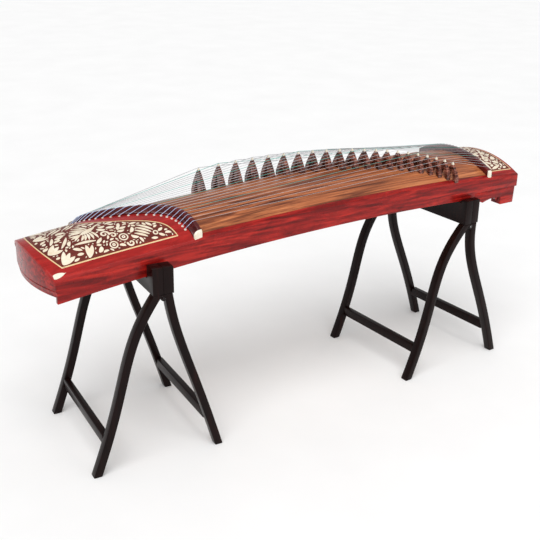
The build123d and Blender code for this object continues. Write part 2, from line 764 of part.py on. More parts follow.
# ---- folding stands ----
def stand_plane(stand, y):
    """Upright plane across a stand: local x along the stand, local y up, facing the player."""
    turn = radians(stand["turn"])
    along, across = Vector(cos(turn), sin(turn), 0), Vector(-sin(turn), cos(turn), 0)
    return Plane(origin=Vector(stand["x"], 0, 0) + across * y, x_dir=along, z_dir=-across)


def leg_line(stand, side, z):
    """X of a curved leg's middle line at a height, and its slope."""
    foot, bow = stand["feet"][side], stand["bows"][side]
    top = PIVOT_X + (2 * side - 1) * BEAM_W / 2
    share = z / LEG_TOP_Z
    bend = share ** BOW_EXPONENT
    bend_rate = BOW_EXPONENT * share ** (BOW_EXPONENT - 1)
    x = foot + (top - foot) * share - bow * sin(pi * bend)
    return x, (top - foot - bow * pi * bend_rate * cos(pi * bend)) / LEG_TOP_Z


def leg_edge(stand, side, shift):
    """Points of a leg's edge, from the foot up to the beam."""
    points = []
    for step in range(LEG_SPANS + 1):
        z = step * LEG_TOP_Z / LEG_SPANS
        x, slope = leg_line(stand, side, z)
        points.append((x + shift * LEG_W / 2 * hypot(1, slope), z))
    return points


def across_stand(stand, area, y0, y1):
    """A profile in the stand's upright plane as a block between two distances across it."""
    with BuildPart() as block:
        with BuildSketch(stand_plane(stand, y1)):
            add(area)
        extrude(amount=y1 - y0)
    return block.part


def leg_profile(stand, side):
    """A curved leg, ending square at the plane where the two frames meet."""
    left, right = leg_edge(stand, side, -1), leg_edge(stand, side, 1)
    with BuildSketch() as area:
        with BuildLine():
            Spline(*left)
            Line(left[-1], right[-1])
            Spline(*right)
            Line(right[0], left[0])
        make_face()
        beyond = (Align.MAX if side else Align.MIN, Align.MIN)
        with Locations((PIVOT_X + (2 * side - 1) * GAP, 0)):
            Rectangle(LEG_TOP_Z, LEG_TOP_Z, align=beyond, mode=Mode.SUBTRACT)
    return area.sketch


def knuckle_profile(side):
    """A round about the pivot with a web up to the frame's own beam."""
    with BuildSketch() as area:
        with Locations((PIVOT_X, PIVOT_Z)):
            Circle(KNUCKLE_R)
        own_side = (Align.MIN if side else Align.MAX, Align.MIN)
        with Locations((PIVOT_X + (2 * side - 1) * GAP, PIVOT_Z)):
            Rectangle(KNUCKLE_R - GAP, LEG_TOP_Z - PIVOT_Z, align=own_side)
    return area.sketch


def pivot_round(radius):
    with BuildSketch() as area:
        with Locations((PIVOT_X, PIVOT_Z)):
            Circle(radius)
    return area.sketch


def leg(stand, side, end):
    """A leg with half of a knuckle: the left frame has the outer half, the right one the inner."""
    inside, outside = LEG_Y - LEG_T / 2, LEG_Y + LEG_T / 2
    halves = ((LEG_Y + GAP / 2, outside), (inside, LEG_Y - GAP / 2))
    own = sorted(end * y for y in halves[side])
    other = sorted(end * y for y in ((inside - 1, LEG_Y + GAP / 2), (LEG_Y - GAP / 2, outside + 1))[side])
    with BuildPart() as piece:
        add(across_stand(stand, leg_profile(stand, side), *sorted((end * inside, end * outside))))
        add(across_stand(stand, pivot_round(KNUCKLE_R + GAP), *other), mode=Mode.SUBTRACT)
        add(across_stand(stand, knuckle_profile(side), *own))
        bore = KNUCKLE_PIN_R + PIN_FIT * side
        add(across_stand(stand, pivot_round(bore), *own), mode=Mode.SUBTRACT)
    return piece.part


def pivot_pin(stand, end):
    """The round that joins the two halves of a knuckle."""
    reach = sorted((end * (LEG_Y - LEG_T / 2), end * (LEG_Y + LEG_T / 2)))
    return across_stand(stand, pivot_round(KNUCKLE_PIN_R), *reach)


def beam(stand, side):
    """One half of the beam that the instrument rests on, stepped up to lips at its ends."""
    end_y = LEG_Y + LEG_T / 2
    starts = [y for y, _ in stand["steps"]] + [end_y]
    outline = []
    for (y0, z), y1 in zip(stand["steps"], starts[1:]):
        outline += [(y0, z), (y1, z)]
    outline = [point for point in outline if point[0] > 0]
    mirrored = [(-y, z) for y, z in reversed(outline)]
    upright = stand_plane(stand, 0)
    face = Plane(origin=upright.from_local_coords((PIVOT_X + GAP if side else PIVOT_X - BEAM_W, 0, 0)),
                 x_dir=-upright.z_dir, z_dir=upright.x_dir)
    with BuildPart() as piece:
        with BuildSketch(face):
            with BuildLine():
                Polyline((-end_y, LEG_TOP_Z), *mirrored, *outline, (end_y, LEG_TOP_Z), close=True)
            make_face()
        extrude(amount=BEAM_W - GAP)
    return piece.part


def stretcher(stand, side):
    """The rail between a frame's two legs."""
    with BuildSketch() as area:
        with Locations((leg_line(stand, side, STRETCHER_Z)[0], STRETCHER_Z)):
            Rectangle(STRETCHER_T, STRETCHER_H)
    return across_stand(stand, area.sketch, LEG_T / 2 - LEG_Y, LEG_Y - LEG_T / 2)


for stand in (TAIL_STAND, HEAD_STAND):
    for side, frame_name in enumerate(stand["frames"]):
        solids = [leg(stand, side, -1), leg(stand, side, 1), beam(stand, side), stretcher(stand, side)]
        if side == 0:
            solids += [pivot_pin(stand, -1), pivot_pin(stand, 1)]
        group(solids, f"{stand['name']}_{frame_name}")
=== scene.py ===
import random
from math import asin, cos, cosh, hypot, pi, radians, sin, sqrt, tanh

import bmesh
import bpy
from mathutils import Matrix, Vector


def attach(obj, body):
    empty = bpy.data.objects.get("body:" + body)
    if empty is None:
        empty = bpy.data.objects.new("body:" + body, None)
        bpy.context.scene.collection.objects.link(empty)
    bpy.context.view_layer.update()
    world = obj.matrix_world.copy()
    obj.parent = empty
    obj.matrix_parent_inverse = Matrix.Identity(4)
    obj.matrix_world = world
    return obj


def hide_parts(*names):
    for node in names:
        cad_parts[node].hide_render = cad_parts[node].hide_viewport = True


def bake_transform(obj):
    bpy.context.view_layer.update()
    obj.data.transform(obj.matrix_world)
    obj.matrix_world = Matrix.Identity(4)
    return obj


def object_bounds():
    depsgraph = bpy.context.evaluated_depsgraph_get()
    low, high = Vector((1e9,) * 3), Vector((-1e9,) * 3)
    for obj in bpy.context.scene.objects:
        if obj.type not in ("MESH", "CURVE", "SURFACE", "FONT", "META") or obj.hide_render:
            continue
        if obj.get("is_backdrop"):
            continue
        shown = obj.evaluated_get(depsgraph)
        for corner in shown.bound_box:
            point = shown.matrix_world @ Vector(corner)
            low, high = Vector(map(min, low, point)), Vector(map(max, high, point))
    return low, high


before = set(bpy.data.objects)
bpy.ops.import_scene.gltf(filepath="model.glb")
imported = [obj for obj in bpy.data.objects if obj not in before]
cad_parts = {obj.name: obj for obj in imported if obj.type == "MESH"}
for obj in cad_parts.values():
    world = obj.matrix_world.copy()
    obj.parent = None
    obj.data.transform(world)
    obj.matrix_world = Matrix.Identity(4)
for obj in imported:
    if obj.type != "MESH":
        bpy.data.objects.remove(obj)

cad_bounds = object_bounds()
ROOT = "guzheng"

# ---- the instrument's surfaces, in metres, the same as the CAD's ----
TO_ORIGIN = Vector((0.013, 0, 0))   # from the drawing's middle to the frame's origin
TAIL_X, HEAD_X = -0.808, 0.812
TAIL_HALF_WIDTH, WIDENING = 0.150, 0.0255
TOP_APEX_X, TOP_APEX_Z, TOP_ARCH_RADIUS = 0.300, 0.655, 9.67
UNDER_APEX_X, UNDER_APEX_Z, UNDER_ARCH_RADIUS = 0.275, 0.589, 8.83
CROWN_TAIL, CROWN_FALL = 0.056, 0.012
TAIL_BULGE = 0.030
SIDE_T = 0.012
BOARD_T = 0.009
STRINGS, MIDDLE_STRING = 21, 11
TAIL_PITCH, HEAD_PITCH = 0.0123, 0.0152
THIN_STRING_R, STRING_R_RISE = 0.0004, 0.00045
NUT_MID_X, NUT_SWEEP, NUT_MID_Y, NUT_SOFTNESS = -0.523, 0.127, 0.018, 0.071
HALVINGS = 40
RIDGE_H, SHELF_H = 0.018, 0.005
RIDGE_OFFSET = 0.0065               # a string's rest on the ridge, from the nut's middle line
HEAD_NUT_X0, HEAD_NUT_X1, HEAD_NUT_BACK_X, HEAD_NUT_H = 0.674, 0.690, 0.7015, 0.020
STRING_HOLE_X = 0.6965
EYELET_OFFSET = 0.0205
CAP_T = 0.005
PIN_ROWS_X = (0.722, 0.745, 0.768)
PIN_SIDE_STEP = 0.0042
PIN_R = 0.003
WIND_Z = 0.630
LID_X0, LID_X1 = 0.702, 0.8115
LID_AXIS_X, LID_AXIS_Z = 0.8075, 0.639
FIRST_BRIDGE_X, BRIDGE_STEP, STEP_GROWTH, LAST_BRIDGE_SHIFT = 0.533, 0.0207, 0.00088, 0.007
BRIDGE_H, BRIDGE_H_RISE, BRIDGE_H_CURVE = 0.050, 0.018, 0.010
BRIDGE_TIP_H, BRIDGE_HEEL_H = 0.008, 0.005
BRACKET_X0, BRACKET_TOP_Z = 0.622, 0.600
FOOT_X0, FOOT_X1, FOOT_Z = 0.742, 0.7997, 0.545


def half_width(x):
    return TAIL_HALF_WIDTH + WIDENING * (x - TAIL_X) / (HEAD_X - TAIL_X)


def edge_z(x):
    return TOP_APEX_Z - (x - TOP_APEX_X) ** 2 / (2 * TOP_ARCH_RADIUS)


def under_z(x):
    return UNDER_APEX_Z - (x - UNDER_APEX_X) ** 2 / (2 * UNDER_ARCH_RADIUS)


def crown_rise(x):
    return CROWN_TAIL - CROWN_FALL * (x - TAIL_X) / (HEAD_X - TAIL_X)


def crown_radius(x):
    return (half_width(x) ** 2 + crown_rise(x) ** 2) / (2 * crown_rise(x))


def crown_z(x, y):
    radius = crown_radius(x)
    return edge_z(x) + crown_rise(x) - radius + sqrt(max(radius ** 2 - y ** 2, 0))


def on_crown(x, y, lift=0.0):
    """A point at a height over the crowned surface."""
    return x, y, crown_z(x, y) + lift


def nut_point(y, offset):
    """Point beside the tail nut's middle line, towards the head when offset is positive."""
    slope = -NUT_SWEEP / (NUT_SOFTNESS * cosh((y - NUT_MID_Y) / NUT_SOFTNESS) ** 2)
    length = hypot(1, slope)
    middle = NUT_MID_X - NUT_SWEEP * tanh((y - NUT_MID_Y) / NUT_SOFTNESS)
    return middle + offset / length, y - offset * slope / length


def nut_line_x(y, offset):
    """X where the line beside the tail nut crosses y, found by halving."""
    low, high = y - abs(offset), y + abs(offset)
    for _ in range(HALVINGS):
        middle = (low + high) / 2
        if nut_point(middle, offset)[1] < y:
            low = middle
        else:
            high = middle
    return nut_point(low, offset)[0]


def tail_end_x(y):
    radius = (TAIL_HALF_WIDTH ** 2 + TAIL_BULGE ** 2) / (2 * TAIL_BULGE)
    return TAIL_X - TAIL_BULGE + radius - sqrt(radius ** 2 - min(abs(y), TAIL_HALF_WIDTH) ** 2)


def tail_y(number):
    return (number - MIDDLE_STRING) * TAIL_PITCH


def head_y(number):
    return (number - MIDDLE_STRING) * HEAD_PITCH


def string_radius(number):
    return THIN_STRING_R + STRING_R_RISE * (number - 1) / (STRINGS - 1)


def ridge_x(number):
    return nut_line_x(tail_y(number), RIDGE_OFFSET)


def bridge_place(number):
    """X, Y and height of a bridge. The last one stands apart from the others."""
    step = number - 1
    x = FIRST_BRIDGE_X - BRIDGE_STEP * step - STEP_GROWTH * step ** 2
    x -= LAST_BRIDGE_SHIFT if number == STRINGS else 0
    share = (x - ridge_x(number)) / (HEAD_NUT_X0 - ridge_x(number))
    y = tail_y(number) + (head_y(number) - tail_y(number)) * share
    order = step / (STRINGS - 1)
    return x, y, BRIDGE_H + BRIDGE_H_RISE * order + BRIDGE_H_CURVE * order ** 3


# ---- materials ----
class Shader:
    """A node tree with short calls for adding and linking nodes."""

    def __init__(self, name):
        self.material = bpy.data.materials.new(name)
        self.material.use_nodes = True
        self.tree = self.material.node_tree
        self.bsdf = self.tree.nodes["Principled BSDF"]

    def add(self, kind, settings=None, **links):
        node = self.tree.nodes.new(kind)
        for key, value in (settings or {}).items():
            setattr(node, key, value)
        for key, value in links.items():
            self.set(node.inputs[key.replace("_", " ")], value)
        return node

    def set(self, socket, value):
        if isinstance(value, bpy.types.NodeSocket):
            self.tree.links.new(value, socket)
        else:
            socket.default_value = value

    def coords(self, scale):
        place = self.add("ShaderNodeTexCoord")
        return self.add("ShaderNodeMapping", Vector=place.outputs["Object"], Scale=scale).outputs[0]

    def noise(self, vector, scale, detail=6.0, distortion=0.0):
        node = self.add("ShaderNodeTexNoise", Vector=vector, Scale=scale, Detail=detail,
                        Distortion=distortion)
        return node.outputs["Fac"]

    def ramp(self, factor, stops):
        node = self.add("ShaderNodeValToRGB", Fac=factor)
        elements = node.color_ramp.elements
        while len(elements) < len(stops):
            elements.new(0.5)
        for element, (position, color) in zip(elements, stops):
            element.position = position
            element.color = (*color, 1)
        return node.outputs["Color"]

    def spread(self, factor, low, high):
        return self.add("ShaderNodeMapRange", Value=factor, To_Min=low, To_Max=high).outputs[0]

    def blend(self, factor, first, second, mode="MIX"):
        node = self.add("ShaderNodeMix", {"data_type": "RGBA", "blend_type": mode})
        self.set(node.inputs[0], factor)
        self.set(node.inputs[6], first)
        self.set(node.inputs[7], second)
        return node.outputs[2]

    def bump(self, height, distance, strength=0.5):
        node = self.add("ShaderNodeBump", Height=height, Distance=distance, Strength=strength)
        self.set(self.bsdf.inputs["Normal"], node.outputs[0])

    def finish(self, **values):
        for key, value in values.items():
            self.set(self.bsdf.inputs[key.replace("_", " ")], value)
        return self.material


GRAIN_DEPTH = 0.00015


def wood(name, stops, grain, rough=(0.25, 0.4), coat=0.0, shine=0.5, figure=0.0,
         figure_scale=(14, 30, 60), pores=0.25, pore_color=(0.02, 0.008, 0.005)):
    """Wood with long grain along the axis that grain stretches, pores, and a wavy figure across it. On the
    bridges the figure is partly painted shade and highlight: its bands stand in for the strings' shadows and
    glints.
    """
    shader = Shader(name)
    along = shader.coords(grain)
    broad = shader.noise(along, 3.0, 8.0, 0.6)
    color = shader.ramp(broad, stops)
    fine = shader.noise(shader.coords(tuple(g * 3.2 for g in grain)), 6.0, 4.0)
    pore = shader.add("ShaderNodeMapRange", Value=fine, From_Min=0.56, From_Max=0.72).outputs[0]
    pore = shader.spread(pore, 0.0, pores)
    color = shader.blend(pore, color, (*pore_color, 1))
    # The figure darkens the wood in wavy bands. On the bridges these bands are partly real figure and partly
    # painted shadows and highlights of the strings.
    if figure:
        waves = shader.noise(shader.coords(figure_scale), 1.0, 3.0, 1.4)
        shade = shader.ramp(waves, [(0.3, (0.42, 0.42, 0.42)), (0.5, (1, 1, 1)), (0.7, (0.6, 0.6, 0.6))])
        color = shader.blend(figure, color, shade, "MULTIPLY")
    wear = shader.noise(shader.coords((9, 9, 9)), 1.0, 5.0)
    shader.bump(fine, GRAIN_DEPTH)
    return shader.finish(Base_Color=color, Roughness=shader.spread(wear, *rough), Coat_Weight=coat,
                         Coat_Roughness=0.08, Specular_IOR_Level=shine)


side_wood = wood("side_wood", [(0.30, (0.105, 0.0030, 0.0030)), (0.48, (0.250, 0.0070, 0.0060)),
                               (0.66, (0.460, 0.0200, 0.0130))],
                 (2.4, 24, 30), (0.22, 0.34), 0.08, 0.2, 0.55, (16, 12, 30))
rim_wood = wood("rim_wood", [(0.3, (0.25, 0.008, 0.007)), (0.55, (0.37, 0.014, 0.012)),
                             (0.75, (0.46, 0.024, 0.017))],
                (3, 26, 26), (0.22, 0.32), 0.08, 0.22, 0.35)
deck_wood = wood("deck_wood", [(0.3, (0.095, 0.014, 0.009)), (0.55, (0.150, 0.024, 0.016)),
                               (0.75, (0.210, 0.038, 0.024))],
                 (5, 34, 34), (0.34, 0.5), 0.03, 0.2, 0.3)
nut_wood = wood("nut_wood", [(0.3, (0.045, 0.002, 0.0025)), (0.6, (0.105, 0.004, 0.005)),
                             (0.8, (0.18, 0.009, 0.008))],
                (20, 8, 30), (0.16, 0.28), 0.25, 0.35, 0.3)
board_wood = wood("board_wood", [(0.30, (0.065, 0.018, 0.010)), (0.42, (0.200, 0.054, 0.022)),
                                 (0.55, (0.440, 0.135, 0.050)), (0.72, (0.680, 0.250, 0.100))],
                  (1.1, 36, 36), (0.3, 0.44), 0.05, 0.25, 0.6, (1.6, 46, 46), 0.5, (0.030, 0.014, 0.008))
# The bridges' high-contrast dark and pale bands across their height are partly wood figure and partly painted
# string shadows and highlights.
bridge_wood = wood("bridge_wood", [(0.3, (0.020, 0.005, 0.004)), (0.48, (0.090, 0.020, 0.012)),
                                   (0.62, (0.380, 0.130, 0.085))],
                   (26, 9, 90), (0.2, 0.32), 0.25, 0.35, 0.9, (22, 8, 190), 0.3)
plain_wood = wood("plain_wood", [(0.3, (0.30, 0.16, 0.08)), (0.6, (0.42, 0.24, 0.12)),
                                 (0.8, (0.52, 0.32, 0.17))],
                  (2, 30, 30), (0.5, 0.65), 0.0, 0.3)
stand_wood = wood("stand_wood", [(0.3, (0.0040, 0.0014, 0.0013)), (0.6, (0.0090, 0.0026, 0.0023)),
                                 (0.8, (0.0220, 0.0052, 0.0042))],
                  (34, 34, 3), (0.24, 0.36), 0.0, 0.12, 0.4, (30, 30, 4), 0.2)


def bone_material(name, low, high, roughness):
    shader = Shader(name)
    cloud = shader.noise(shader.coords((60, 60, 60)), 1.0, 5.0, 0.8)
    lines = shader.noise(shader.coords((900, 120, 300)), 1.0, 3.0)
    tone = shader.ramp(cloud, [(0.3, low), (0.7, high)])
    color = shader.blend(shader.spread(lines, 0, 0.35), tone, (*low, 1))
    shader.bump(lines, 0.00005, 0.4)
    return shader.finish(Base_Color=color, Roughness=shader.spread(cloud, roughness, roughness + 0.15),
                         Coat_Weight=0.3, Coat_Roughness=0.15)


bone = bone_material("bone", (0.74, 0.67, 0.52), (0.87, 0.83, 0.72), 0.25)
inlay = bone_material("inlay", (0.76, 0.64, 0.46), (0.90, 0.83, 0.68), 0.3)
border_inlay = bone_material("border_inlay", (0.72, 0.50, 0.24), (0.84, 0.66, 0.38), 0.3)


def string_material(name, color, roughness, metallic):
    """A wound string: fine turns across it, and a slight change of colour along it."""
    shader = Shader(name)
    turns = shader.add("ShaderNodeTexWave", {"wave_type": "BANDS", "bands_direction": "X"},
                       Vector=shader.coords((1, 1, 1)), Scale=900.0, Distortion=1.0)
    shader.bump(turns.outputs["Fac"], 0.00006, 0.4)
    tone = shader.noise(shader.coords((8, 40, 40)), 1.0, 3.0)
    dim = tuple(c * 0.78 for c in color)
    return shader.finish(Base_Color=shader.ramp(tone, [(0.35, dim), (0.65, color)]),
                         Roughness=shader.spread(tone, roughness, roughness + 0.12), Metallic=metallic)


string_plain = string_material("string_plain", (0.62, 0.65, 0.68), 0.3, 0.35)
string_green = string_material("string_green", (0.16, 0.52, 0.46), 0.35, 0.0)
string_wrap = string_material("string_wrap", (0.50, 0.60, 0.84), 0.5, 0.0)

steel = Shader("pin_steel")
scratches = steel.noise(steel.coords((300, 300, 1500)), 1.0, 4.0)
steel.bump(scratches, 0.00003, 0.3)
steel = steel.finish(Base_Color=steel.ramp(scratches, [(0.3, (0.50, 0.50, 0.51)), (0.7, (0.70, 0.70, 0.71))]),
                     Roughness=steel.spread(scratches, 0.18, 0.34), Metallic=1.0)


# ---- making pieces ----
def link(name, data):
    """An object for some data, in the scene."""
    obj = bpy.data.objects.new(name, data)
    bpy.context.scene.collection.objects.link(obj)
    return obj


def piece(name, points, faces, material, body, slot, replaces=(), sharp=38, ride=True):
    mesh = bpy.data.meshes.new(name)
    mesh.from_pydata([tuple(Vector(p) + TO_ORIGIN) for p in points], [], faces)
    mesh.validate()
    work = bmesh.new()
    work.from_mesh(mesh)
    bmesh.ops.recalc_face_normals(work, faces=work.faces)
    work.to_mesh(mesh)
    work.free()
    mesh.shade_smooth()
    mesh.set_sharp_from_angle(angle=radians(sharp))
    mesh.materials.append(material)
    obj = link(name, mesh)
    if ride:
        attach(obj, body)
    if replaces:
        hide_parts(*replaces)
    return obj


def merged(parts):
    """Several (points, faces) as one."""
    points, faces = [], []
    for some_points, some_faces in parts:
        start = len(points)
        points += some_points
        faces += [tuple(i + start for i in face) for face in some_faces]
    return points, faces


def loft(sections):
    """A closed solid through sections that have the same number of points."""
    count = len(sections[0])
    points = [p for section in sections for p in section]
    faces = []
    for row in range(len(sections) - 1):
        for i in range(count):
            j = (i + 1) % count
            a, b = row * count, (row + 1) * count
            faces.append((a + i, a + j, b + j, b + i))
    faces.append(tuple(reversed(range(count))))
    faces.append(tuple((len(sections) - 1) * count + i for i in range(count)))
    return points, faces


def spaced(start, end, count):
    return [start + (end - start) * i / count for i in range(count + 1)]


def slab(outline, depth0, depth1, round_r, warp, segments=3):
    """A flat outline (u, v) with thickness and rounded edges, put in place by warp(u, v, depth)."""
    work = bmesh.new()
    near = [work.verts.new((u, v, depth0)) for u, v in outline]
    far = [work.verts.new((u, v, depth1)) for u, v in outline]
    work.faces.new(near)
    work.faces.new(reversed(far))
    for i in range(len(outline)):
        j = (i + 1) % len(outline)
        work.faces.new((near[i], far[i], far[j], near[j]))
    bmesh.ops.recalc_face_normals(work, faces=work.faces)
    if round_r:
        edges = [e for e in work.edges if e.calc_face_angle(0) > radians(25)]
        bmesh.ops.bevel(work, geom=edges, offset=round_r, segments=segments, profile=0.5, affect="EDGES",
                        clamp_overlap=True)
    points = [warp(*vert.co) for vert in work.verts]
    work.verts.index_update()
    faces = [tuple(vert.index for vert in face.verts) for face in work.faces]
    work.free()
    return points, faces


def edge_steps(count, near_steps):
    """Shares from 0 to 1 with extra steps close to both ends."""
    inner = [s for s in spaced(0, 1, count) if near_steps[-1] < s < 1 - near_steps[-1]]
    return [0, *near_steps, *inner, *(1 - s for s in reversed(near_steps)), 1]


def plate(x_start, x_end, inset, thickness, round_r, along, across):
    """A crowned board between two curves, its top edges rounded."""
    rows = []
    u_list = edge_steps(along, [0.002, 0.006, 0.012])
    s_list = [2 * s - 1 for s in edge_steps(across, [0.003, 0.007, 0.012])]
    for u in u_list:
        row = []
        for s in s_list:
            y = s * 0.15
            for _ in range(8):
                x0, x1 = x_start(y), x_end(y)
                x = x0 + (x1 - x0) * u
                y = s * (half_width(x) - inset)
            side = max(0.0, min(x - x0, x1 - x, (1 - abs(s)) * half_width(x), round_r))
            drop = round_r - sqrt(max(0.0, round_r ** 2 - (round_r - side) ** 2))
            row.append(on_crown(x, y, -drop))
        rows.append(row)
    wide, long = len(s_list), len(u_list)
    points = [p for row in rows for p in row]
    points += [on_crown(x, y, -thickness) for x, y, _ in points]
    faces = []
    under = wide * long
    for i in range(long - 1):
        for j in range(wide - 1):
            a = i * wide + j
            quad = (a, a + 1, a + wide + 1, a + wide)
            faces.append(quad)
            faces.append(tuple(k + under for k in reversed(quad)))
    rim = [j for j in range(wide)] + [i * wide + wide - 1 for i in range(1, long)]
    rim += [(long - 1) * wide + j for j in reversed(range(wide - 1))]
    rim += [i * wide for i in reversed(range(1, long - 1))]
    for a, b in zip(rim, rim[1:] + rim[:1]):
        faces.append((a, a + under, b + under, b))
    return points, faces


def tube(path, radius, sides=8):
    """A round rod along a path, flat at both ends."""
    path = [Vector(p) for p in path]
    sections = []
    normal = None
    for i, point in enumerate(path):
        direction = (path[min(i + 1, len(path) - 1)] - path[max(i - 1, 0)]).normalized()
        if normal is None:
            normal = direction.orthogonal().normalized()
        normal = (normal - direction * normal.dot(direction)).normalized()
        across = direction.cross(normal)
        turns = [2 * pi * k / sides for k in range(sides)]
        sections.append([tuple(point + (normal * cos(a) + across * sin(a)) * radius) for a in turns])
    return loft(sections)


def filled(points, spacing):
    """The same path with points no further apart than spacing."""
    path = [points[0]]
    for start, end in zip(points, points[1:]):
        a, b = Vector(start), Vector(end)
        count = max(1, int((b - a).length / spacing))
        path += [tuple(a.lerp(b, k / count)) for k in range(1, count + 1)]
    return path


# ---- the sound box ----
def tail_line(y):
    return nut_line_x(max(-0.2, min(0.2, y)), 0.0)


piece("soundboard_top", *plate(tail_line, lambda y: HEAD_NUT_X0, SIDE_T, BOARD_T, 0.0003, 90, 60),
      board_wood, ROOT, "soundboard_wood", ["soundboard"])
piece("tail_deck_top", *plate(tail_end_x, tail_line, 0.0, BOARD_T, 0.0022, 60, 60),
      rim_wood, ROOT, "inlaid_wood", ["tail_deck"])
PANEL_END_X = TAIL_X + 0.0045      # the side panels end just behind the tail end's face


def panel(side):
    """A side panel: its lower edge arched, its top following the crown, stepped down below the tail deck."""
    step_x = nut_point(side * 0.152, 0)[0]
    outline = [(x, under_z(x)) for x in spaced(PANEL_END_X, BRACKET_X0, 60)]
    outline += [(BRACKET_X0, BRACKET_TOP_Z), (HEAD_X, BRACKET_TOP_Z)]
    outline += [(x, edge_z(x)) for x in spaced(HEAD_X, step_x, 50)]
    outline += [(x, edge_z(x) - BOARD_T) for x in spaced(step_x, PANEL_END_X, 16)]

    def warp(x, z, depth):
        y = half_width(x) - depth
        near_top = max(0.0, min(1.0, (z - under_z(x)) / (edge_z(x) - under_z(x)) * 4 - 3))
        return x, side * y, z + near_top * (crown_z(x, y) - edge_z(x))

    return slab(outline, 0.0, SIDE_T, 0.0014, warp)


piece("front_panel", *panel(-1), side_wood, ROOT, "side_wood", ["front_side_panel"])
piece("rear_panel", *panel(1), side_wood, ROOT, "side_wood", ["rear_side_panel"])


def tail_panel_section(y):
    """The tail end's profile: a rounded top moulding line, and a lower band set back behind a groove."""
    outer = tail_end_x(y) + 0.002
    top = crown_z(outer + 0.006, y) - BOARD_T
    profile = [(0.0, top), (0.0, 0.5625), (0.0008, 0.5608), (0.0026, 0.5600), (0.0030, 0.5588),
               (0.0020, 0.5574),
               (0.0018, 0.5555), (0.0034, 0.5532), (0.0040, 0.5440), (0.0046, 0.5412), (0.0070, 0.5400),
               (0.0150, 0.5400), (0.0150, top)]
    return [(outer + dx, y, z) for dx, z in profile]


PANEL_REACH = 0.1496
piece("tail_panel", *loft([tail_panel_section(y) for y in spaced(-PANEL_REACH, PANEL_REACH, 52)]),
      side_wood, ROOT, "side_wood", ["tail_end_panel"])


# ---- nuts ----
def across_nut(y, profile, shrink=1):
    """A profile of (offset, height) set across the S at one place, on the crowned surface."""
    return [on_crown(*nut_point(y, offset * shrink), height * shrink) for offset, height in profile]


# The nut's profile: a low shelf on the tail side and a rounded ridge on the head side.
NUT_PROFILE = [(-0.0130, -0.0008), (-0.0130, SHELF_H - 0.0012), (-0.0118, SHELF_H), (-0.0004, SHELF_H),
               (0.0001, SHELF_H + 0.0010), (0.0004, RIDGE_H - 0.0032), (0.0014, RIDGE_H - 0.0009),
               (0.0034, RIDGE_H), (0.0096, RIDGE_H), (0.0119, RIDGE_H - 0.0010), (0.0129, RIDGE_H - 0.0034),
               (0.0130, -0.0008)]
# Its bone end piece: upright on the head side and rounded off towards the tail.
CAP_PROFILE = [(-0.0130, -0.0008)]
CAP_PROFILE += [(0.0010 - 0.0140 * cos(a), 0.0060 + 0.0125 * sin(a)) for a in spaced(0, pi / 2, 8)]
CAP_PROFILE += [(0.0100, 0.0185), (0.0121, 0.0175), (0.0130, 0.0150), (0.0130, -0.0008)]


def nut_end(side, inset):
    """The S parameter where the nut's middle reaches the body's side less inset."""
    y = side * TAIL_HALF_WIDTH
    for _ in range(30):
        y = side * (half_width(nut_point(y, 0)[0]) - inset)
    return y


nut_rows = spaced(nut_end(-1, CAP_T), nut_end(1, CAP_T), 70)
piece("tail_nut_ribbon", *loft([across_nut(y, NUT_PROFILE) for y in nut_rows]), nut_wood, ROOT,
      "nut_wood", ["tail_nut"])


def head_nut_section(y):
    profile = [(HEAD_NUT_X0, -0.001), (HEAD_NUT_X0, 0.0172), (0.6748, 0.0192), (0.6768, 0.020),
               (0.6870, 0.020), (0.6890, 0.0191), (0.6899, 0.0172), (0.6900, 0.0016), (0.6906, 0.0008),
               (0.7008, 0.0008),
               (HEAD_NUT_BACK_X, 0.0002), (HEAD_NUT_BACK_X, -0.010), (HEAD_NUT_X0, -0.010)]
    return [on_crown(x, y, h) for x, h in profile]


head_end_y = half_width(0.685) - CAP_T
piece("head_nut_bar", *loft([head_nut_section(y) for y in spaced(-head_end_y, head_end_y, 60)]),
      nut_wood, ROOT, "nut_wood", ["head_nut"])
bone_parts = []
for side in (-1, 1):
    rows = spaced(nut_end(side, CAP_T), nut_end(side, 0.0004), 4)
    bone_parts.append(loft([across_nut(y, CAP_PROFILE, 1 - 0.03 * k * k / 4) for k, y in enumerate(rows)]))
    ends = spaced(head_end_y, half_width(0.685) - 0.0004, 4)
    sections = []
    for k, y in enumerate(ends):
        ease = 0.0006 * k * k / 4
        profile = [(HEAD_NUT_X0 + ease, -0.002), (HEAD_NUT_X0 + ease, 0.0186 - ease), (0.6758, 0.0202 - ease),
                   (0.6882, 0.0202 - ease), (HEAD_NUT_X1 - ease, 0.0186 - ease), (HEAD_NUT_X1 - ease, -0.002)]
        sections.append([(x, side * y, crown_z(x, y) + h) for x, h in profile])
    bone_parts.append(loft(sections))


# ---- inlay drawn as ribbons that lie on the crown ----
INLAY_LIFT = 0.0004


def ribbon(line, widths, lift=INLAY_LIFT):
    """A flat strip along a line in plan, of changing width, lying on the crowned surface."""
    left, right = [], []
    for i, (x, y) in enumerate(line):
        ahead, behind = line[min(i + 1, len(line) - 1)], line[max(i - 1, 0)]
        dx, dy = ahead[0] - behind[0], ahead[1] - behind[1]
        length = hypot(dx, dy) or 1
        nx, ny = -dy / length, dx / length
        half = widths[i] / 2
        left.append((x + nx * half, y + ny * half))
        right.append((x - nx * half, y - ny * half))
    points, faces = [], []
    for (ax, ay), (bx, by) in zip(left, right):
        points += [on_crown(ax, ay, -0.0003), on_crown(ax, ay, lift),
                   on_crown((ax + bx) / 2, (ay + by) / 2, lift * 1.15),
                   on_crown(bx, by, lift), on_crown(bx, by, -0.0003)]
    for i in range(len(line) - 1):
        a, b = 5 * i, 5 * i + 5
        faces += [(a + k, a + k + 1, b + k + 1, b + k) for k in range(4)]
    last = 5 * (len(line) - 1)
    faces += [(4, 3, 2, 1, 0), tuple(last + k for k in range(5))]
    return points, faces


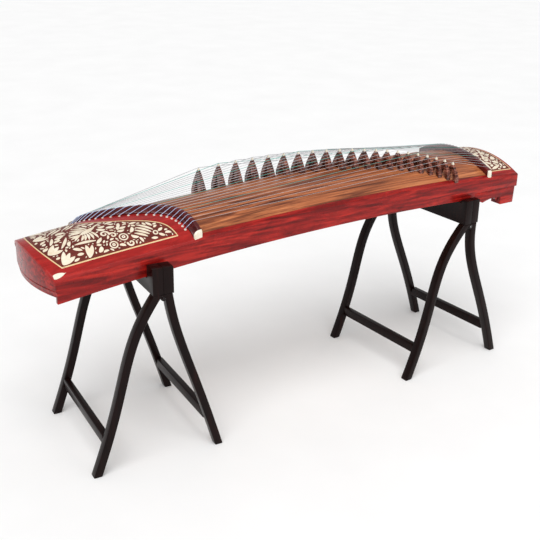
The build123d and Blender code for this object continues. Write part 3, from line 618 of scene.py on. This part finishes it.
def petal(x, y, angle, length, width, bend=0.0):
    """A leaf or petal: a strip that swells and closes to a point, with a bend."""
    line, widths = [], []
    heading = angle
    steps = 9
    for k in range(steps + 1):
        line.append((x, y))
        share = k / steps
        widths.append(max(0.0003, width * sin(pi * min(1, share * 0.93 + 0.05)) ** 0.75))
        x += cos(heading) * length / steps
        y += sin(heading) * length / steps
        heading += bend / steps
    return ribbon(line, widths)


def spiral(x, y, angle, size, width, turns, hand):
    """A scroll that curls in on itself."""
    line, widths = [], []
    steps = 26
    for k in range(steps + 1):
        share = k / steps
        radius = size * (1 - 0.82 * share)
        turn = angle + hand * turns * 2 * pi * share
        line.append((x + radius * cos(turn), y + radius * sin(turn)))
        widths.append(width * (1 - 0.45 * share))
    return ribbon(line, widths)


def ring(x, y, radius, width):
    line = [(x + radius * cos(2 * pi * k / 20), y + radius * sin(2 * pi * k / 20)) for k in range(21)]
    return ribbon(line, [width] * 21)


def flower(x, y, size, petals, angle):
    """Rounded petals about a ringed middle."""
    parts = [ring(x, y, size * 0.22, size * 0.13)]
    for k in range(petals):
        turn = angle + 2 * pi * k / petals
        parts.append(petal(x + cos(turn) * size * 0.36, y + sin(turn) * size * 0.36, turn, size * 0.66,
                           size * 1.9 / petals, 0.25))
    return parts


def cloud(x, y, size, angle, hand):
    """Two curls back to back over a long tail."""
    cx, sy = cos(angle), sin(angle)
    parts = [spiral(x, y, angle, size * 0.42, size * 0.2, 1.2, hand),
             spiral(x + cx * size * 0.75, y + sy * size * 0.75, angle + pi, size * 0.34, size * 0.18, 1.1,
                    -hand),
             petal(x - cx * size * 0.5 - sy * size * 0.45, y - sy * size * 0.5 + cx * size * 0.45, angle,
                   size * 1.9, size * 0.30, -0.5 * hand)]
    return parts


def spray(x, y, size, angle, leaves):
    """A curved stem with leaves on both sides."""
    parts = [petal(x, y, angle, size, size * 0.10, 0.5)]
    for k in range(leaves):
        along = size * (0.12 + 0.8 * k / leaves)
        hand = 1 if k % 2 else -1
        turn = angle + 0.5 * along / size
        parts.append(petal(x + cos(turn) * along, y + sin(turn) * along, turn + hand * 0.85,
                           size * 0.42, size * 0.19, -hand * 0.7))
    return parts


def plumes(x, y, size, angle, count):
    """Broad parallel feathers, each a little shorter than the last."""
    parts = []
    for k in range(count):
        px = x - sin(angle) * size * 0.24 * k
        py = y + cos(angle) * size * 0.24 * k
        parts.append(petal(px, py, angle + 0.05 * k, size * (1.25 - 0.11 * k), size * 0.19, 0.35))
    return parts


def bird(x, y, size, angle):
    """A long-necked bird in flight: body, neck, beak, two feathered wings and a tail."""
    def at(along, across):
        forward, aside = along * size, across * size
        return (x + cos(angle) * forward - sin(angle) * aside, y + sin(angle) * forward + cos(angle) * aside)

    parts = [petal(*at(-0.45, 0), angle, size * 1.0, size * 0.30, 0.15),
             petal(*at(0.42, 0.04), angle + 0.55, size * 0.72, size * 0.11, -1.1),
             petal(*at(0.98, 0.30), angle - 0.5, size * 0.24, size * 0.07, 0)]
    for k in range(5):
        parts.append(petal(*at(0.12 - 0.12 * k, 0.13), angle + 1.55 + 0.22 * k,
                           size * (0.88 - 0.07 * k), size * 0.14, 0.5))
        parts.append(petal(*at(0.10 - 0.12 * k, -0.13), angle - 1.45 - 0.2 * k,
                           size * (0.72 - 0.06 * k), size * 0.13, -0.5))
    for k in range(3):
        parts.append(petal(*at(-0.45, 0), angle + pi + 0.28 * (k - 1), size * 0.62, size * 0.12,
                           0.2 * (k - 1)))
    return parts


def frame_line(corners, width):
    """A closed border of even width along points in plan."""
    line = corners + corners[:2]
    return ribbon(line, [width] * len(line))


def deck_border_x(y):
    return nut_line_x(y, -(0.058 + 0.055 * y))


def deck_tail_border_x(y):
    return -0.817 + 0.039 * (abs(y) / 0.128) ** 2.2


def deck_limit(x):
    return half_width(x) - 0.0215


def flat_path(points, spacing):
    return [(p[0], p[1]) for p in filled([(x, y, 0) for x, y in points], spacing)]


def deck_outline():
    low, high = -0.134, 0.131
    near = [(deck_tail_border_x(-0.128), -0.128), (deck_border_x(low), low)]
    line = flat_path(near, 0.008)
    line += [(deck_border_x(y), y) for y in spaced(low + 0.006, high, 44)]
    line += flat_path([(deck_border_x(high), high), (deck_tail_border_x(0.128), 0.1285)], 0.008)[1:]
    line += [(deck_tail_border_x(y), y) for y in spaced(0.122, -0.122, 36)]
    return line


class Field:
    """Keeps the inlay's pieces apart: a coarse raster of what is already covered."""

    CELL = 0.0009

    def __init__(self, inside):
        self.inside = inside
        self.taken = set()
        self.parts = []

    def cells(self, part):
        points = part[0]
        found = set()
        for a in range(0, len(points) - 5, 5):
            corners = [Vector(points[a + k][:2]) for k in (1, 3, 6, 8)]
            long = max((corners[2] - corners[0]).length, (corners[3] - corners[1]).length)
            wide = max((corners[1] - corners[0]).length, (corners[3] - corners[2]).length)
            n, m = int(long / self.CELL) + 2, int(wide / self.CELL) + 2
            for i in range(n):
                left = corners[0].lerp(corners[2], i / (n - 1))
                right = corners[1].lerp(corners[3], i / (n - 1))
                for j in range(m):
                    spot = left.lerp(right, j / (m - 1))
                    found.add((round(spot.x / self.CELL), round(spot.y / self.CELL)))
        return found

    def add(self, motif):
        """Keeps the parts of a motif that lie inside and clear of every earlier motif."""
        fresh = set()
        for part in motif:
            if not all(self.inside(x, y) for x, y, _ in part[0]):
                continue
            cells = self.cells(part)
            if cells & self.taken:
                continue
            fresh |= cells
            self.parts.append(part)
        self.taken |= {(i + a, j + b) for i, j in fresh for a in (-1, 0, 1) for b in (-1, 0, 1)}


def scatter(field, columns, rows, area, seed, fill):
    """A varied set of motifs on a loose grid, then leaves and buds that fill what is left between them."""
    x0, x1, y0, y1 = area
    rng = random.Random(seed)
    makers = [
        lambda x, y, s, a: cloud(x, y, s * 0.62, a, rng.choice((-1, 1))),
        lambda x, y, s, a: plumes(x - cos(a) * s * 0.5, y - sin(a) * s * 0.5, s * 0.95, a, 5),
        lambda x, y, s, a: flower(x, y, s * 0.52, 6, a),
        lambda x, y, s, a: spray(x - cos(a) * s * 0.5, y - sin(a) * s * 0.5, s * 1.05, a, 6),
    ]
    step_x, step_y = (x1 - x0) / columns, (y1 - y0) / rows
    for i in range(columns):
        for j in range(rows):
            x = x0 + step_x * (i + 0.5 + rng.uniform(-0.12, 0.12) + 0.25 * (j % 2))
            y = y0 + step_y * (j + 0.5 + rng.uniform(-0.12, 0.12))
            size = min(step_x, step_y) * rng.uniform(0.95, 1.15)
            angle = rng.choice((0.35, 0.6, 2.7, 3.6, 5.9)) + rng.uniform(-0.3, 0.3)
            field.add(makers[(i * 3 + j * 2 + rng.randrange(2)) % len(makers)](x, y, size, angle))
    for k in range(fill):
        share = (1 - k / fill) ** 1.6
        x, y = rng.uniform(x0, x1), rng.uniform(y0, y1)
        length = 0.005 + 0.027 * share * rng.uniform(0.6, 1.0)
        angle = rng.choice((0.4, 0.7, 2.5, 3.5, 5.6)) + rng.uniform(-0.5, 0.5)
        field.add([petal(x, y, angle, length, length * rng.uniform(0.36, 0.60), rng.uniform(-1.5, 1.5))])
    return field.parts


def in_deck(x, y):
    tail, head = deck_tail_border_x(y) + 0.006, deck_border_x(min(0.131, y)) - 0.006
    return tail < x < head and abs(y) < deck_limit(x) - 0.005


def fan(x, y, angle, length, width, count, spread):
    """Leaves from one point."""
    return [petal(x, y, angle + spread * (k - (count - 1) / 2), length, width, 0.25) for k in range(count)]


deck_field = Field(in_deck)
deck_field.add(bird(-0.668, -0.030, 0.052, 0.35))
deck_field.add(plumes(-0.575, -0.060, 0.050, 0.95, 5))
deck_field.add(plumes(-0.505, -0.095, 0.040, 2.2, 4))
for ring_x, ring_y, ring_r in ((-0.590, -0.092, 0.011), (-0.548, -0.104, 0.009), (-0.625, -0.108, 0.010)):
    deck_field.add([ring(ring_x, ring_y, ring_r, 0.0036), ring(ring_x, ring_y, ring_r * 0.3, 0.0034)])
for fan_x, fan_y, angle in ((-0.772, -0.121, 0.62), (-0.795, -0.080, 0.35), (-0.806, 0.0, 0.1),
                            (-0.795, 0.070, -0.3), (-0.462, -0.128, 2.65), (-0.700, -0.124, 0.9)):
    deck_field.add(fan(fan_x, fan_y, angle, 0.040, 0.0125, 3, 0.42))
deck_motifs = scatter(deck_field, 8, 6, (-0.815, -0.435, -0.134, 0.134), 8, 5200)
piece("deck_inlay", *merged(deck_motifs), inlay, ROOT, "bone", sharp=60)
piece("deck_border", *frame_line(deck_outline(), 0.0030), border_inlay, ROOT, "bone", sharp=60)


def field_plate(outline_x0, outline_x1, y_limit, lift, along, across):
    """The dull ground inside a border, a thin skin over the crowned board."""
    rows = []
    for u in spaced(0, 1, along):
        row = []
        for s in spaced(-1, 1, across):
            y = s * y_limit
            x = outline_x0(y) + (outline_x1(y) - outline_x0(y)) * u
            row.append(on_crown(x, y, lift))
        rows.append(row)
    wide = across + 1
    points = [p for row in rows for p in row]
    faces = [(i * wide + j, i * wide + j + 1, (i + 1) * wide + j + 1, (i + 1) * wide + j)
             for i in range(along) for j in range(across)]
    return points, faces


GROUND_LIFT = 0.00012
piece("deck_ground", *field_plate(deck_tail_border_x, lambda y: deck_border_x(max(-0.134, min(0.131, y))),
                                  0.1285, GROUND_LIFT, 60, 60), deck_wood, ROOT, "inlaid_wood")


# ---- the head: lid, bracket, feet, pin block and pins ----
LID_CLEAR = 0.0004
LID_START = LID_X0 + 0.0005
piece("lid_board", *plate(lambda y: LID_START, lambda y: LID_X1, SIDE_T + LID_CLEAR, 0.008, 0.0016, 24, 60),
      rim_wood, "head_lid", "inlaid_wood", ["head_lid"])
LID_BORDER = (0.709, 0.800, 0.1500)


def in_lid(x, y):
    return LID_BORDER[0] + 0.005 < x < LID_BORDER[1] - 0.005 and abs(y) < LID_BORDER[2] - 0.004


lid_outline = flat_path([(LID_BORDER[0], -LID_BORDER[2]), (LID_BORDER[1], -LID_BORDER[2]),
                         (LID_BORDER[1], LID_BORDER[2]), (LID_BORDER[0], LID_BORDER[2]),
                         (LID_BORDER[0], -LID_BORDER[2] + 0.004)], 0.006)
piece("lid_border", *frame_line(lid_outline, 0.0028), border_inlay, "head_lid", "bone", sharp=60)
lid_field = Field(in_lid)
for lid_x, lid_y, angle, length in ((0.7185, -0.143, 1.50, 0.075), (0.724, -0.141, 0.30, 0.050),
                                    (0.719, -0.055, 1.55, 0.050), (0.7185, 0.010, 1.55, 0.060)):
    lid_field.add([petal(lid_x, lid_y, angle, length, 0.0105, 0.1)])
lid_motifs = scatter(lid_field, 2, 7, (0.712, 0.797, -0.148, 0.148), 11, 2400)
piece("lid_inlay", *merged(lid_motifs), inlay, "head_lid", "bone", sharp=60)
piece("lid_ground", *field_plate(lambda y: LID_BORDER[0], lambda y: LID_BORDER[1], LID_BORDER[2],
                                 GROUND_LIFT, 16, 60),
      deck_wood, "head_lid", "inlaid_wood")
ears = []
EAR_R, EAR_HALF, EAR_TOP = 0.004, 0.0055, 0.647
for side in (-1, 1):
    pin_y = side * (half_width(LID_AXIS_X) - SIDE_T)
    ear_y = pin_y - side * (LID_CLEAR + EAR_HALF)
    outline = [(LID_AXIS_X + EAR_R * cos(a), LID_AXIS_Z - EAR_R * abs(sin(a))) for a in spaced(-pi, 0, 12)]
    outline += [(LID_AXIS_X + EAR_R, EAR_TOP), (LID_AXIS_X - EAR_R, EAR_TOP)]
    ears.append(slab(outline, -EAR_HALF, EAR_HALF, 0.0004, lambda u, v, d, y=ear_y: (u, y + d, v)))
    ears.append(tube([(LID_AXIS_X, pin_y - EAR_HALF, LID_AXIS_Z), (LID_AXIS_X, pin_y + EAR_HALF, LID_AXIS_Z)],
                     0.0024, 20))
piece("lid_ears", *merged(ears), rim_wood, "head_lid", "inlaid_wood")


def arc3(start, middle, end, count=10):
    """Points on the circle through three points."""
    (ax, ay), (bx, by), (cx, cy) = start, middle, end
    d = 2 * (ax * (by - cy) + bx * (cy - ay) + cx * (ay - by))
    a2, b2, c2 = ax * ax + ay * ay, bx * bx + by * by, cx * cx + cy * cy
    ux = (a2 * (by - cy) + b2 * (cy - ay) + c2 * (ay - by)) / d
    uy = (a2 * (cx - bx) + b2 * (ax - cx) + c2 * (bx - ax)) / d
    first, last = Vector((ax - ux, ay - uy)), Vector((cx - ux, cy - uy))
    turn = first.angle_signed(last)
    points = []
    for k in range(count + 1):
        a = -turn * k / count
        points.append((ux + first.x * cos(a) - first.y * sin(a), uy + first.x * sin(a) + first.y * cos(a)))
    return points


bracket_outline = [(BRACKET_X0, under_z(BRACKET_X0))]
for middle, end, count in (((0.640, 0.573), (0.661, 0.563), 10), ((0.684, 0.570), (0.704, 0.573), 10),
                           ((0.714, 0.571), (0.721, 0.565), 6), ((0.726, 0.571), (0.734, 0.573), 6)):
    bracket_outline += arc3(bracket_outline[-1], middle, end, count)[1:]
bracket_outline += [(FOOT_X0, 0.570), (FOOT_X0, FOOT_Z), (FOOT_X1, FOOT_Z), (0.8027, 0.5997),
                    (BRACKET_X0, 0.5997)]
head_parts = []
for side in (-1, 1):
    head_parts.append(slab(bracket_outline, 0.0, SIDE_T, 0.0010,
                           lambda x, z, d, side=side: (x, side * (half_width(x) - d), z)))
    foot = [(FOOT_X0, FOOT_Z), (FOOT_X1, FOOT_Z), (0.8012, 0.5795), (FOOT_X0, 0.5795)]
    head_parts.append(slab(foot, SIDE_T, 0.042, 0.0010,
                           lambda x, z, d, side=side: (x, side * (half_width(x) - d), z)))
end_y = half_width(0.797) - SIDE_T
board = [(-end_y, 0.560), (end_y, 0.560)]
board += [(y, crown_z(0.797, y) - 0.0084) for y in spaced(end_y, -end_y, 40)]
head_parts.append(slab(board, 0.7907, 0.8027, 0.0008, lambda y, z, x: (x, y, z)))
piece("head_feet", *merged(head_parts), side_wood, ROOT, "side_wood", ["head_foot_frame"])

for name, material in (("bottom_board", plain_wood), ("cross_braces", plain_wood), ("pin_block", plain_wood)):
    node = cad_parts[name]
    node.data.materials.clear()
    node.data.materials.append(material)


def pin_parts(number):
    """A tuning pin: a round shank and a square tapered head with eased corners."""
    x, y = PIN_ROWS_X[(number - 1) % 3], head_y(number) + PIN_SIDE_STEP
    sections = []
    turns = [2 * pi * k / 24 for k in range(24)]
    for z, radius in ((0.598, 0.0024), (0.5986, PIN_R), (0.6325, PIN_R), (0.634, 0.0028)):
        sections.append([(x + radius * cos(a), y + radius * sin(a), z) for a in turns])
    head = []
    for z, half in ((0.6335, 0.0021), (0.6345, 0.0023), (0.6432, 0.0019), (0.644, 0.0014)):
        cut = 0.0005
        corner = [(half, half - cut), (half - cut, half), (-half + cut, half), (-half, half - cut),
                  (-half, -half + cut), (-half + cut, -half), (half - cut, -half), (half, -half + cut)]
        head.append([(x + a, y + b, z) for a, b in corner])
    return merged([loft(sections), loft(head)])


def coil(number):
    """The string's four turns round its pin."""
    x, y = PIN_ROWS_X[(number - 1) % 3], head_y(number) + PIN_SIDE_STEP
    radius = string_radius(number)
    path = []
    steps, turns = 18, 4
    for k in range(turns * steps + 1):
        a = -pi / 2 + 2 * pi * k / steps
        path.append((x + (PIN_R + radius) * cos(a), y + (PIN_R + radius) * sin(a),
                     WIND_Z - 2 * radius * 1.05 * k / steps))
    return tube(path, radius, 6)


def string_finish(number):
    return string_green if number % 5 == 0 else string_plain


for number in range(1, STRINGS + 1):
    body = f"tuning_pin_{number:02d}"
    piece(f"pin_{number:02d}", *pin_parts(number), steel, body, "pin_steel", [body])
    piece(f"pin_turns_{number:02d}", *coil(number), string_finish(number), body, "string", sharp=60)


# ---- bridges ----
def bridge_wood_part(number):
    """An A-shaped bridge whose two curved legs meet in a narrow neck, its edges eased."""
    x0, y0, height = bridge_place(number)
    foot = crown_z(x0, y0)
    top = height - BRIDGE_TIP_H
    order = (number - 1) / (STRINGS - 1)
    base, base_depth = 0.025 + 0.005 * order, 0.0075 + 0.0035 * order
    outer_curve = arc3((base, BRIDGE_HEEL_H), (base * 0.66, height / 2), (0.0045, top), 12)
    half = []
    arch_foot, arch_lean, arch_top = 0.0135, 0.0095, height * 0.5 - 0.004
    inner = [(arch_foot, None)] + [(arch_foot - arch_lean * k / 12, arch_top * k / 12) for k in range(13)]
    for side in (-1, 1):
        line = [(base, None)] + outer_curve
        half.append([(side * a[0], a[1], side * b[0], b[1]) for a, b in zip(line, inner)])
    middle = [(-0.0022, top, -0.0024, height * 0.5 - 0.0008), (0, top, 0, height * 0.5),
              (0.0022, top, 0.0024, height * 0.5 - 0.0008)]
    stations = half[0] + middle + list(reversed(half[1]))
    sections = []
    for yo, zo, yi, zi in stations:
        out_ground, in_ground = crown_z(x0, y0 + yo) - foot, crown_z(x0, y0 + yi) - foot
        out_z = out_ground + 0.0004 if zo is None else max(zo, out_ground + 0.001)
        in_z = in_ground + 0.0004 if zi is None else max(zi, in_ground + 0.0006)
        section = []
        for across, z, sign in ((yo, out_z, 1), (yi, in_z, -1)):
            rise = max(0, min(1, (z - BRIDGE_HEEL_H) / (top - BRIDGE_HEEL_H)))
            depth = base_depth - (base_depth - 0.0035) * rise
            ease = 0.0008
            away = Vector((across - (yi if sign == 1 else yo), z - (in_z if sign == 1 else out_z)))
            away.normalize()
            pair = [(-depth, -ease), (-depth + ease, 0.0), (depth - ease, 0.0), (depth, -ease)]
            if sign == -1:
                pair.reverse()
            for dx, back in pair:
                section.append((x0 + dx, y0 + across + away.x * back, foot + z + away.y * back))
        sections.append(section)
    return loft(sections)


def bridge_tip_part(number):
    """The bone tip: a wedge with a rounded crest and a notch for the string."""
    x0, y0, height = bridge_place(number)
    base = crown_z(x0, y0) + height - BRIDGE_TIP_H
    outline = [(-0.0044, 0.0), (-0.0038, 0.0030), (-0.0024, 0.0074), (-0.0009, 0.0080), (-0.0004, 0.0076),
               (0.0004, 0.0076), (0.0009, 0.0080), (0.0024, 0.0074), (0.0038, 0.0030), (0.0044, 0.0)]

    def warp(u, v, depth):
        thin = 1 - 0.66 * min(1, 1.5 * v / BRIDGE_TIP_H)
        return x0 + depth * thin, y0 + u, base + v

    return slab(outline, -0.0034, 0.0034, 0.0004, warp, 2)


for number in range(1, STRINGS + 1):
    body = f"bridge_{number:02d}"
    piece(f"bridge_wood_{number:02d}", *bridge_wood_part(number), bridge_wood, body, "bridge_wood", [body])
    piece(f"bridge_tip_{number:02d}", *bridge_tip_part(number), bone, body, "bone")

# ---- strings ----
head_strings, wraps = {}, []
for number in range(1, STRINGS + 1):
    radius = string_radius(number)
    y0, y1 = head_y(number), tail_y(number)
    lift = radius + 0.0003
    bx, by, height = bridge_place(number)
    hole_x = nut_line_x(y1, -EYELET_OFFSET)
    edge_x = nut_line_x(y1, 0.0008)
    hole_top = crown_z(STRING_HOLE_X, y0)
    tip = on_crown(bx, by, height + radius - 0.0002)
    ridge = on_crown(ridge_x(number), y1, RIDGE_H + lift)
    nut = on_crown(HEAD_NUT_X0 + 0.004, y0, HEAD_NUT_H + lift)
    finish = string_finish(number)
    for side, start in (("tail", ridge), ("head", nut)):
        run = piece(f"string_{side}_{number:02d}", *tube(filled([start, tip], 0.012), radius), finish,
                    ROOT, "string", sharp=60, ride=False)
        Vector(start) + TO_ORIGIN
        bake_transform(run)
    px = PIN_ROWS_X[(number - 1) % 3]
    fixed = [nut, (HEAD_NUT_X1 - 0.001, y0, crown_z(HEAD_NUT_X1, y0) + HEAD_NUT_H + lift),
             (HEAD_NUT_X1 + 0.0008, y0, crown_z(HEAD_NUT_X1, y0) + HEAD_NUT_H - 0.0006),
             (STRING_HOLE_X - 0.0003, y0, hole_top + 0.002), (STRING_HOLE_X, y0, hole_top - 0.001),
             (STRING_HOLE_X + 0.0004, y0, hole_top - 0.0145), (px, y0, WIND_Z)]
    head_strings.setdefault(finish.name, []).append(tube(filled(fixed, 0.01), radius))
    over = [ridge, (edge_x + 0.002, y1, crown_z(edge_x, y1) + RIDGE_H + lift),
            (edge_x - 0.0006, y1, crown_z(edge_x, y1) + RIDGE_H - 0.0010 + radius * 0.5),
            (hole_x + 0.0006, y1, crown_z(hole_x, y1) + 0.0030), on_crown(hole_x, y1, -0.0068)]
    wraps.append(tube(filled(over, 0.006), radius + 0.00028))

for name, parts in head_strings.items():
    ends = piece(f"{name}_ends", *merged(parts), bpy.data.materials[name], ROOT, "string", sharp=60)
    if name == "string_plain":
        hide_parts("strings")
piece("string_wraps", *merged(wraps), string_wrap, ROOT, "string", sharp=60)


# ---- bone eyelets and corner pieces ----
def eyelet(number):
    """A turned ring with a rounded rim, square to the deck."""
    y = tail_y(number)
    x = nut_line_x(y, -EYELET_OFFSET)
    tilt = asin(y / crown_radius(x))
    turn = Matrix.Rotation(-tilt, 3, "X")
    middle = Vector((x, y, crown_z(x, y)))
    points, faces = [], []
    profile = [(0.0036, -0.0008), (0.0036, 0.0004), (0.0032, 0.0011), (0.0026, 0.0014), (0.0019, 0.0012),
               (0.0015, 0.0006), (0.0015, -0.0008)]
    for k in range(20):
        a = 2 * pi * k / 20
        for radius, h in profile:
            points.append(tuple(middle + turn @ Vector((radius * cos(a), radius * sin(a), h))))
    size = len(profile)
    for k in range(20):
        a, b = k * size, ((k + 1) % 20) * size
        faces += [(a + i, a + i + 1, b + i + 1, b + i) for i in range(size - 1)]
        faces.append((a + size - 1, a, b, b + size - 1))
    return points, faces


def corner_piece(side):
    """A teardrop of bone let into the deck's tail corner, with its point towards the head."""
    line, widths = [], []
    for k in range(15):
        share = k / 14
        line.append((TAIL_X + 0.0005 + 0.034 * share, side * (0.1435 - 0.0015 * share)))
        widths.append(0.0128 * sqrt(max(0.0, sin(pi * min(1, share + 0.12)))) * (1 - 0.45 * share) + 0.0004)
    return ribbon(line, widths, 0.0006)


bone_parts += [eyelet(number) for number in range(1, STRINGS + 1)]
bone_parts += [corner_piece(-1), corner_piece(1)]
piece("bone_pieces", *merged(bone_parts), bone, ROOT, "bone", ["bone_trim"])

# ---- folding stands ----
LEG_T, LEG_W, LEG_Y, LEG_TOP_Z = 0.027, 0.023, 0.191, 0.512
PIVOT_X, PIVOT_Z, BEAM_W, GAP = 0.025, 0.502, 0.030, 0.0003
RAIL_Z, RAIL_HALF_W, RAIL_HALF_H = 0.100, 0.010, 0.015
SQUARE = ((-1, -1), (1, -1), (1, 1), (-1, 1))
KNUCKLE_R = 0.009
BOW_EXPONENT = 2.3
STANDS = (
    ("tail_stand", -0.543, -4.0, (-0.185, 0.185), (0.024, 0.010), ("outer_frame", "inner_frame"),
     ((0.0, 0.5493), (0.163, 0.588))),
    ("head_stand", 0.553, 2.5, (-0.2025, 0.2025), (0.039, 0.026), ("inner_frame", "outer_frame"),
     ((0.0, 0.568), (0.123, 0.5822), (0.181, 0.592))),
)


def leg_line(feet, bows, side, z):
    """X of a curved leg's middle line at a height, and its slope."""
    top = PIVOT_X + (2 * side - 1) * BEAM_W / 2
    share = z / LEG_TOP_Z
    bend = share ** BOW_EXPONENT
    rate = BOW_EXPONENT * share ** (BOW_EXPONENT - 1)
    x = feet[side] + (top - feet[side]) * share - bows[side] * sin(pi * bend)
    return x, (top - feet[side] - bows[side] * pi * rate * cos(pi * bend)) / LEG_TOP_Z


def beam_outline(steps):
    """The beam's outline across the stand, mirrored about its middle."""
    end_y = LEG_Y + LEG_T / 2
    half = []
    for (y0, z), (y1, _) in zip(steps, list(steps[1:]) + [(end_y, 0)]):
        half += [(y0, z), (y1, z)]
    half = [p for p in half if p[0] > 0]
    return [(-end_y, LEG_TOP_Z)] + [(-y, z) for y, z in reversed(half)] + half + [(end_y, LEG_TOP_Z)]


for name, stand_x, degrees, feet, bows, frames, steps in STANDS:
    turn = radians(degrees)

    def put(u, v, y, turn=turn, stand_x=stand_x):
        return stand_x + u * cos(turn) - y * sin(turn), u * sin(turn) + y * cos(turn), v

    for side, frame_name in enumerate(frames):
        sign = 2 * side - 1
        parts = []
        left, right = [], []
        for z in spaced(0, LEG_TOP_Z, 30):
            x, slope = leg_line(feet, bows, side, z)
            half = LEG_W / 2 * hypot(1, slope)
            limit = PIVOT_X + sign * GAP
            left.append((x - half if side == 0 else max(x - half, limit), z))
            right.append((min(x + half, limit) if side == 0 else x + half, z))
        leg = left + list(reversed(right))
        for end in (-1, 1):
            parts.append(slab(leg, end * (LEG_Y - LEG_T / 2), end * (LEG_Y + LEG_T / 2), 0.0028, put))
            span = (LEG_Y + GAP / 2, LEG_Y + LEG_T / 2)
            if side == 1:
                span = (LEG_Y - LEG_T / 2, LEG_Y - GAP / 2)
            round_end = [(PIVOT_X + KNUCKLE_R * cos(a), PIVOT_Z + KNUCKLE_R * sin(a))
                         for a in spaced(0, 2 * pi, 28)[:-1]]
            parts.append(slab(round_end, end * span[0], end * span[1], 0.0006, put))
        x0 = PIVOT_X + GAP if side else PIVOT_X - BEAM_W
        parts.append(slab(beam_outline(steps), x0, x0 + BEAM_W - GAP, 0.0007,
                          lambda y, z, u, put=put: put(u, z, y)))
        rail_x = leg_line(feet, bows, side, RAIL_Z)[0]
        rail = [(rail_x + u * RAIL_HALF_W, RAIL_Z + v * RAIL_HALF_H) for u, v in SQUARE]
        parts.append(slab(rail, LEG_T / 2 - LEG_Y, LEG_Y - LEG_T / 2, 0.0024, put))
        node = f"{name}_{frame_name}"
        piece(f"{node}_wood", *merged(parts), stand_wood, node, "stand_wood", [node])
        if side == 0:
            spans = [[end * (LEG_Y - LEG_T / 2), end * (LEG_Y + LEG_T / 2)] for end in (-1, 1)]
            pins = [tube([put(PIVOT_X, PIVOT_Z, y) for y in span], 0.0039, 24) for span in spans]
            piece(f"{node}_pins", *merged(pins), steel, node, "stand_wood")

# ---- floor, light and camera ----
bpy.context.scene.view_settings.view_transform = "Standard"


def place_light(light, energy, place, heading):
    """Puts a light in the scene, pointing along heading."""
    light.energy = energy
    lamp = link(light.name, light)
    lamp.location = place
    lamp.rotation_euler = Vector(heading).to_track_quat("-Z", "Y").to_euler()


FLOOR_REACH = 14.0
floor_mesh = bpy.data.meshes.new("floor")
floor_corners = [(x * FLOOR_REACH, y * FLOOR_REACH, 0) for x, y in SQUARE]
floor_mesh.from_pydata(floor_corners, [], [(0, 1, 2, 3)])
floor = link("floor", floor_mesh)
floor_shader = Shader("floor")
speckle = floor_shader.noise(floor_shader.coords((3, 3, 3)), 1.0, 4.0)
floor_tone = floor_shader.ramp(speckle, [(0.3, (0.90, 0.90, 0.90)), (0.7, (0.93, 0.93, 0.93))])
floor_mesh.materials.append(floor_shader.finish(Base_Color=floor_tone, Roughness=0.9))
floor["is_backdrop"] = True

sun = bpy.data.lights.new("sun", "SUN")
sun.angle = radians(50)
place_light(sun, 2.0, (0, 0, 0), (0.42, 0.55, -1.0))
front = bpy.data.lights.new("front", "AREA")
front.shape = "RECTANGLE"
front.size, front.size_y = 3.2, 1.0
place_light(front, 30, (0.4, -4.2, 1.8), (-0.4, 4.2, -1.3))

world = bpy.data.worlds.new("studio")
world.use_nodes = True
world.node_tree.nodes["Background"].inputs["Color"].default_value = (1, 1, 1, 1)
world.node_tree.nodes["Background"].inputs["Strength"].default_value = 0.55
bpy.context.scene.world = world

CAMERA_PLACE = (-1.49923, -2.22567, 1.49956)
CAMERA_HEADING, CAMERA_TILT, CAMERA_ROLL = radians(-33.06), radians(90 - 22.26), radians(0.94)
camera_data = bpy.data.cameras.new("camera")
camera_data.lens = 61.19
camera_data.sensor_width = 36.0
camera = link("camera", camera_data)
turned = Matrix.Rotation(CAMERA_HEADING, 4, "Z") @ Matrix.Rotation(CAMERA_TILT, 4, "X")
camera.matrix_world = Matrix.Translation(CAMERA_PLACE) @ turned @ Matrix.Rotation(CAMERA_ROLL, 4, "Z")
bpy.context.scene.camera = camera


def plain(value):
    """Bounds as plain lists."""
    if isinstance(value, dict):
        return {key: plain(item) for key, item in value.items()}
    if isinstance(value, (int, float, str)):
        return value
    return [plain(item) for item in value]


{"cad": plain(cad_bounds), "visual": plain(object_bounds())}
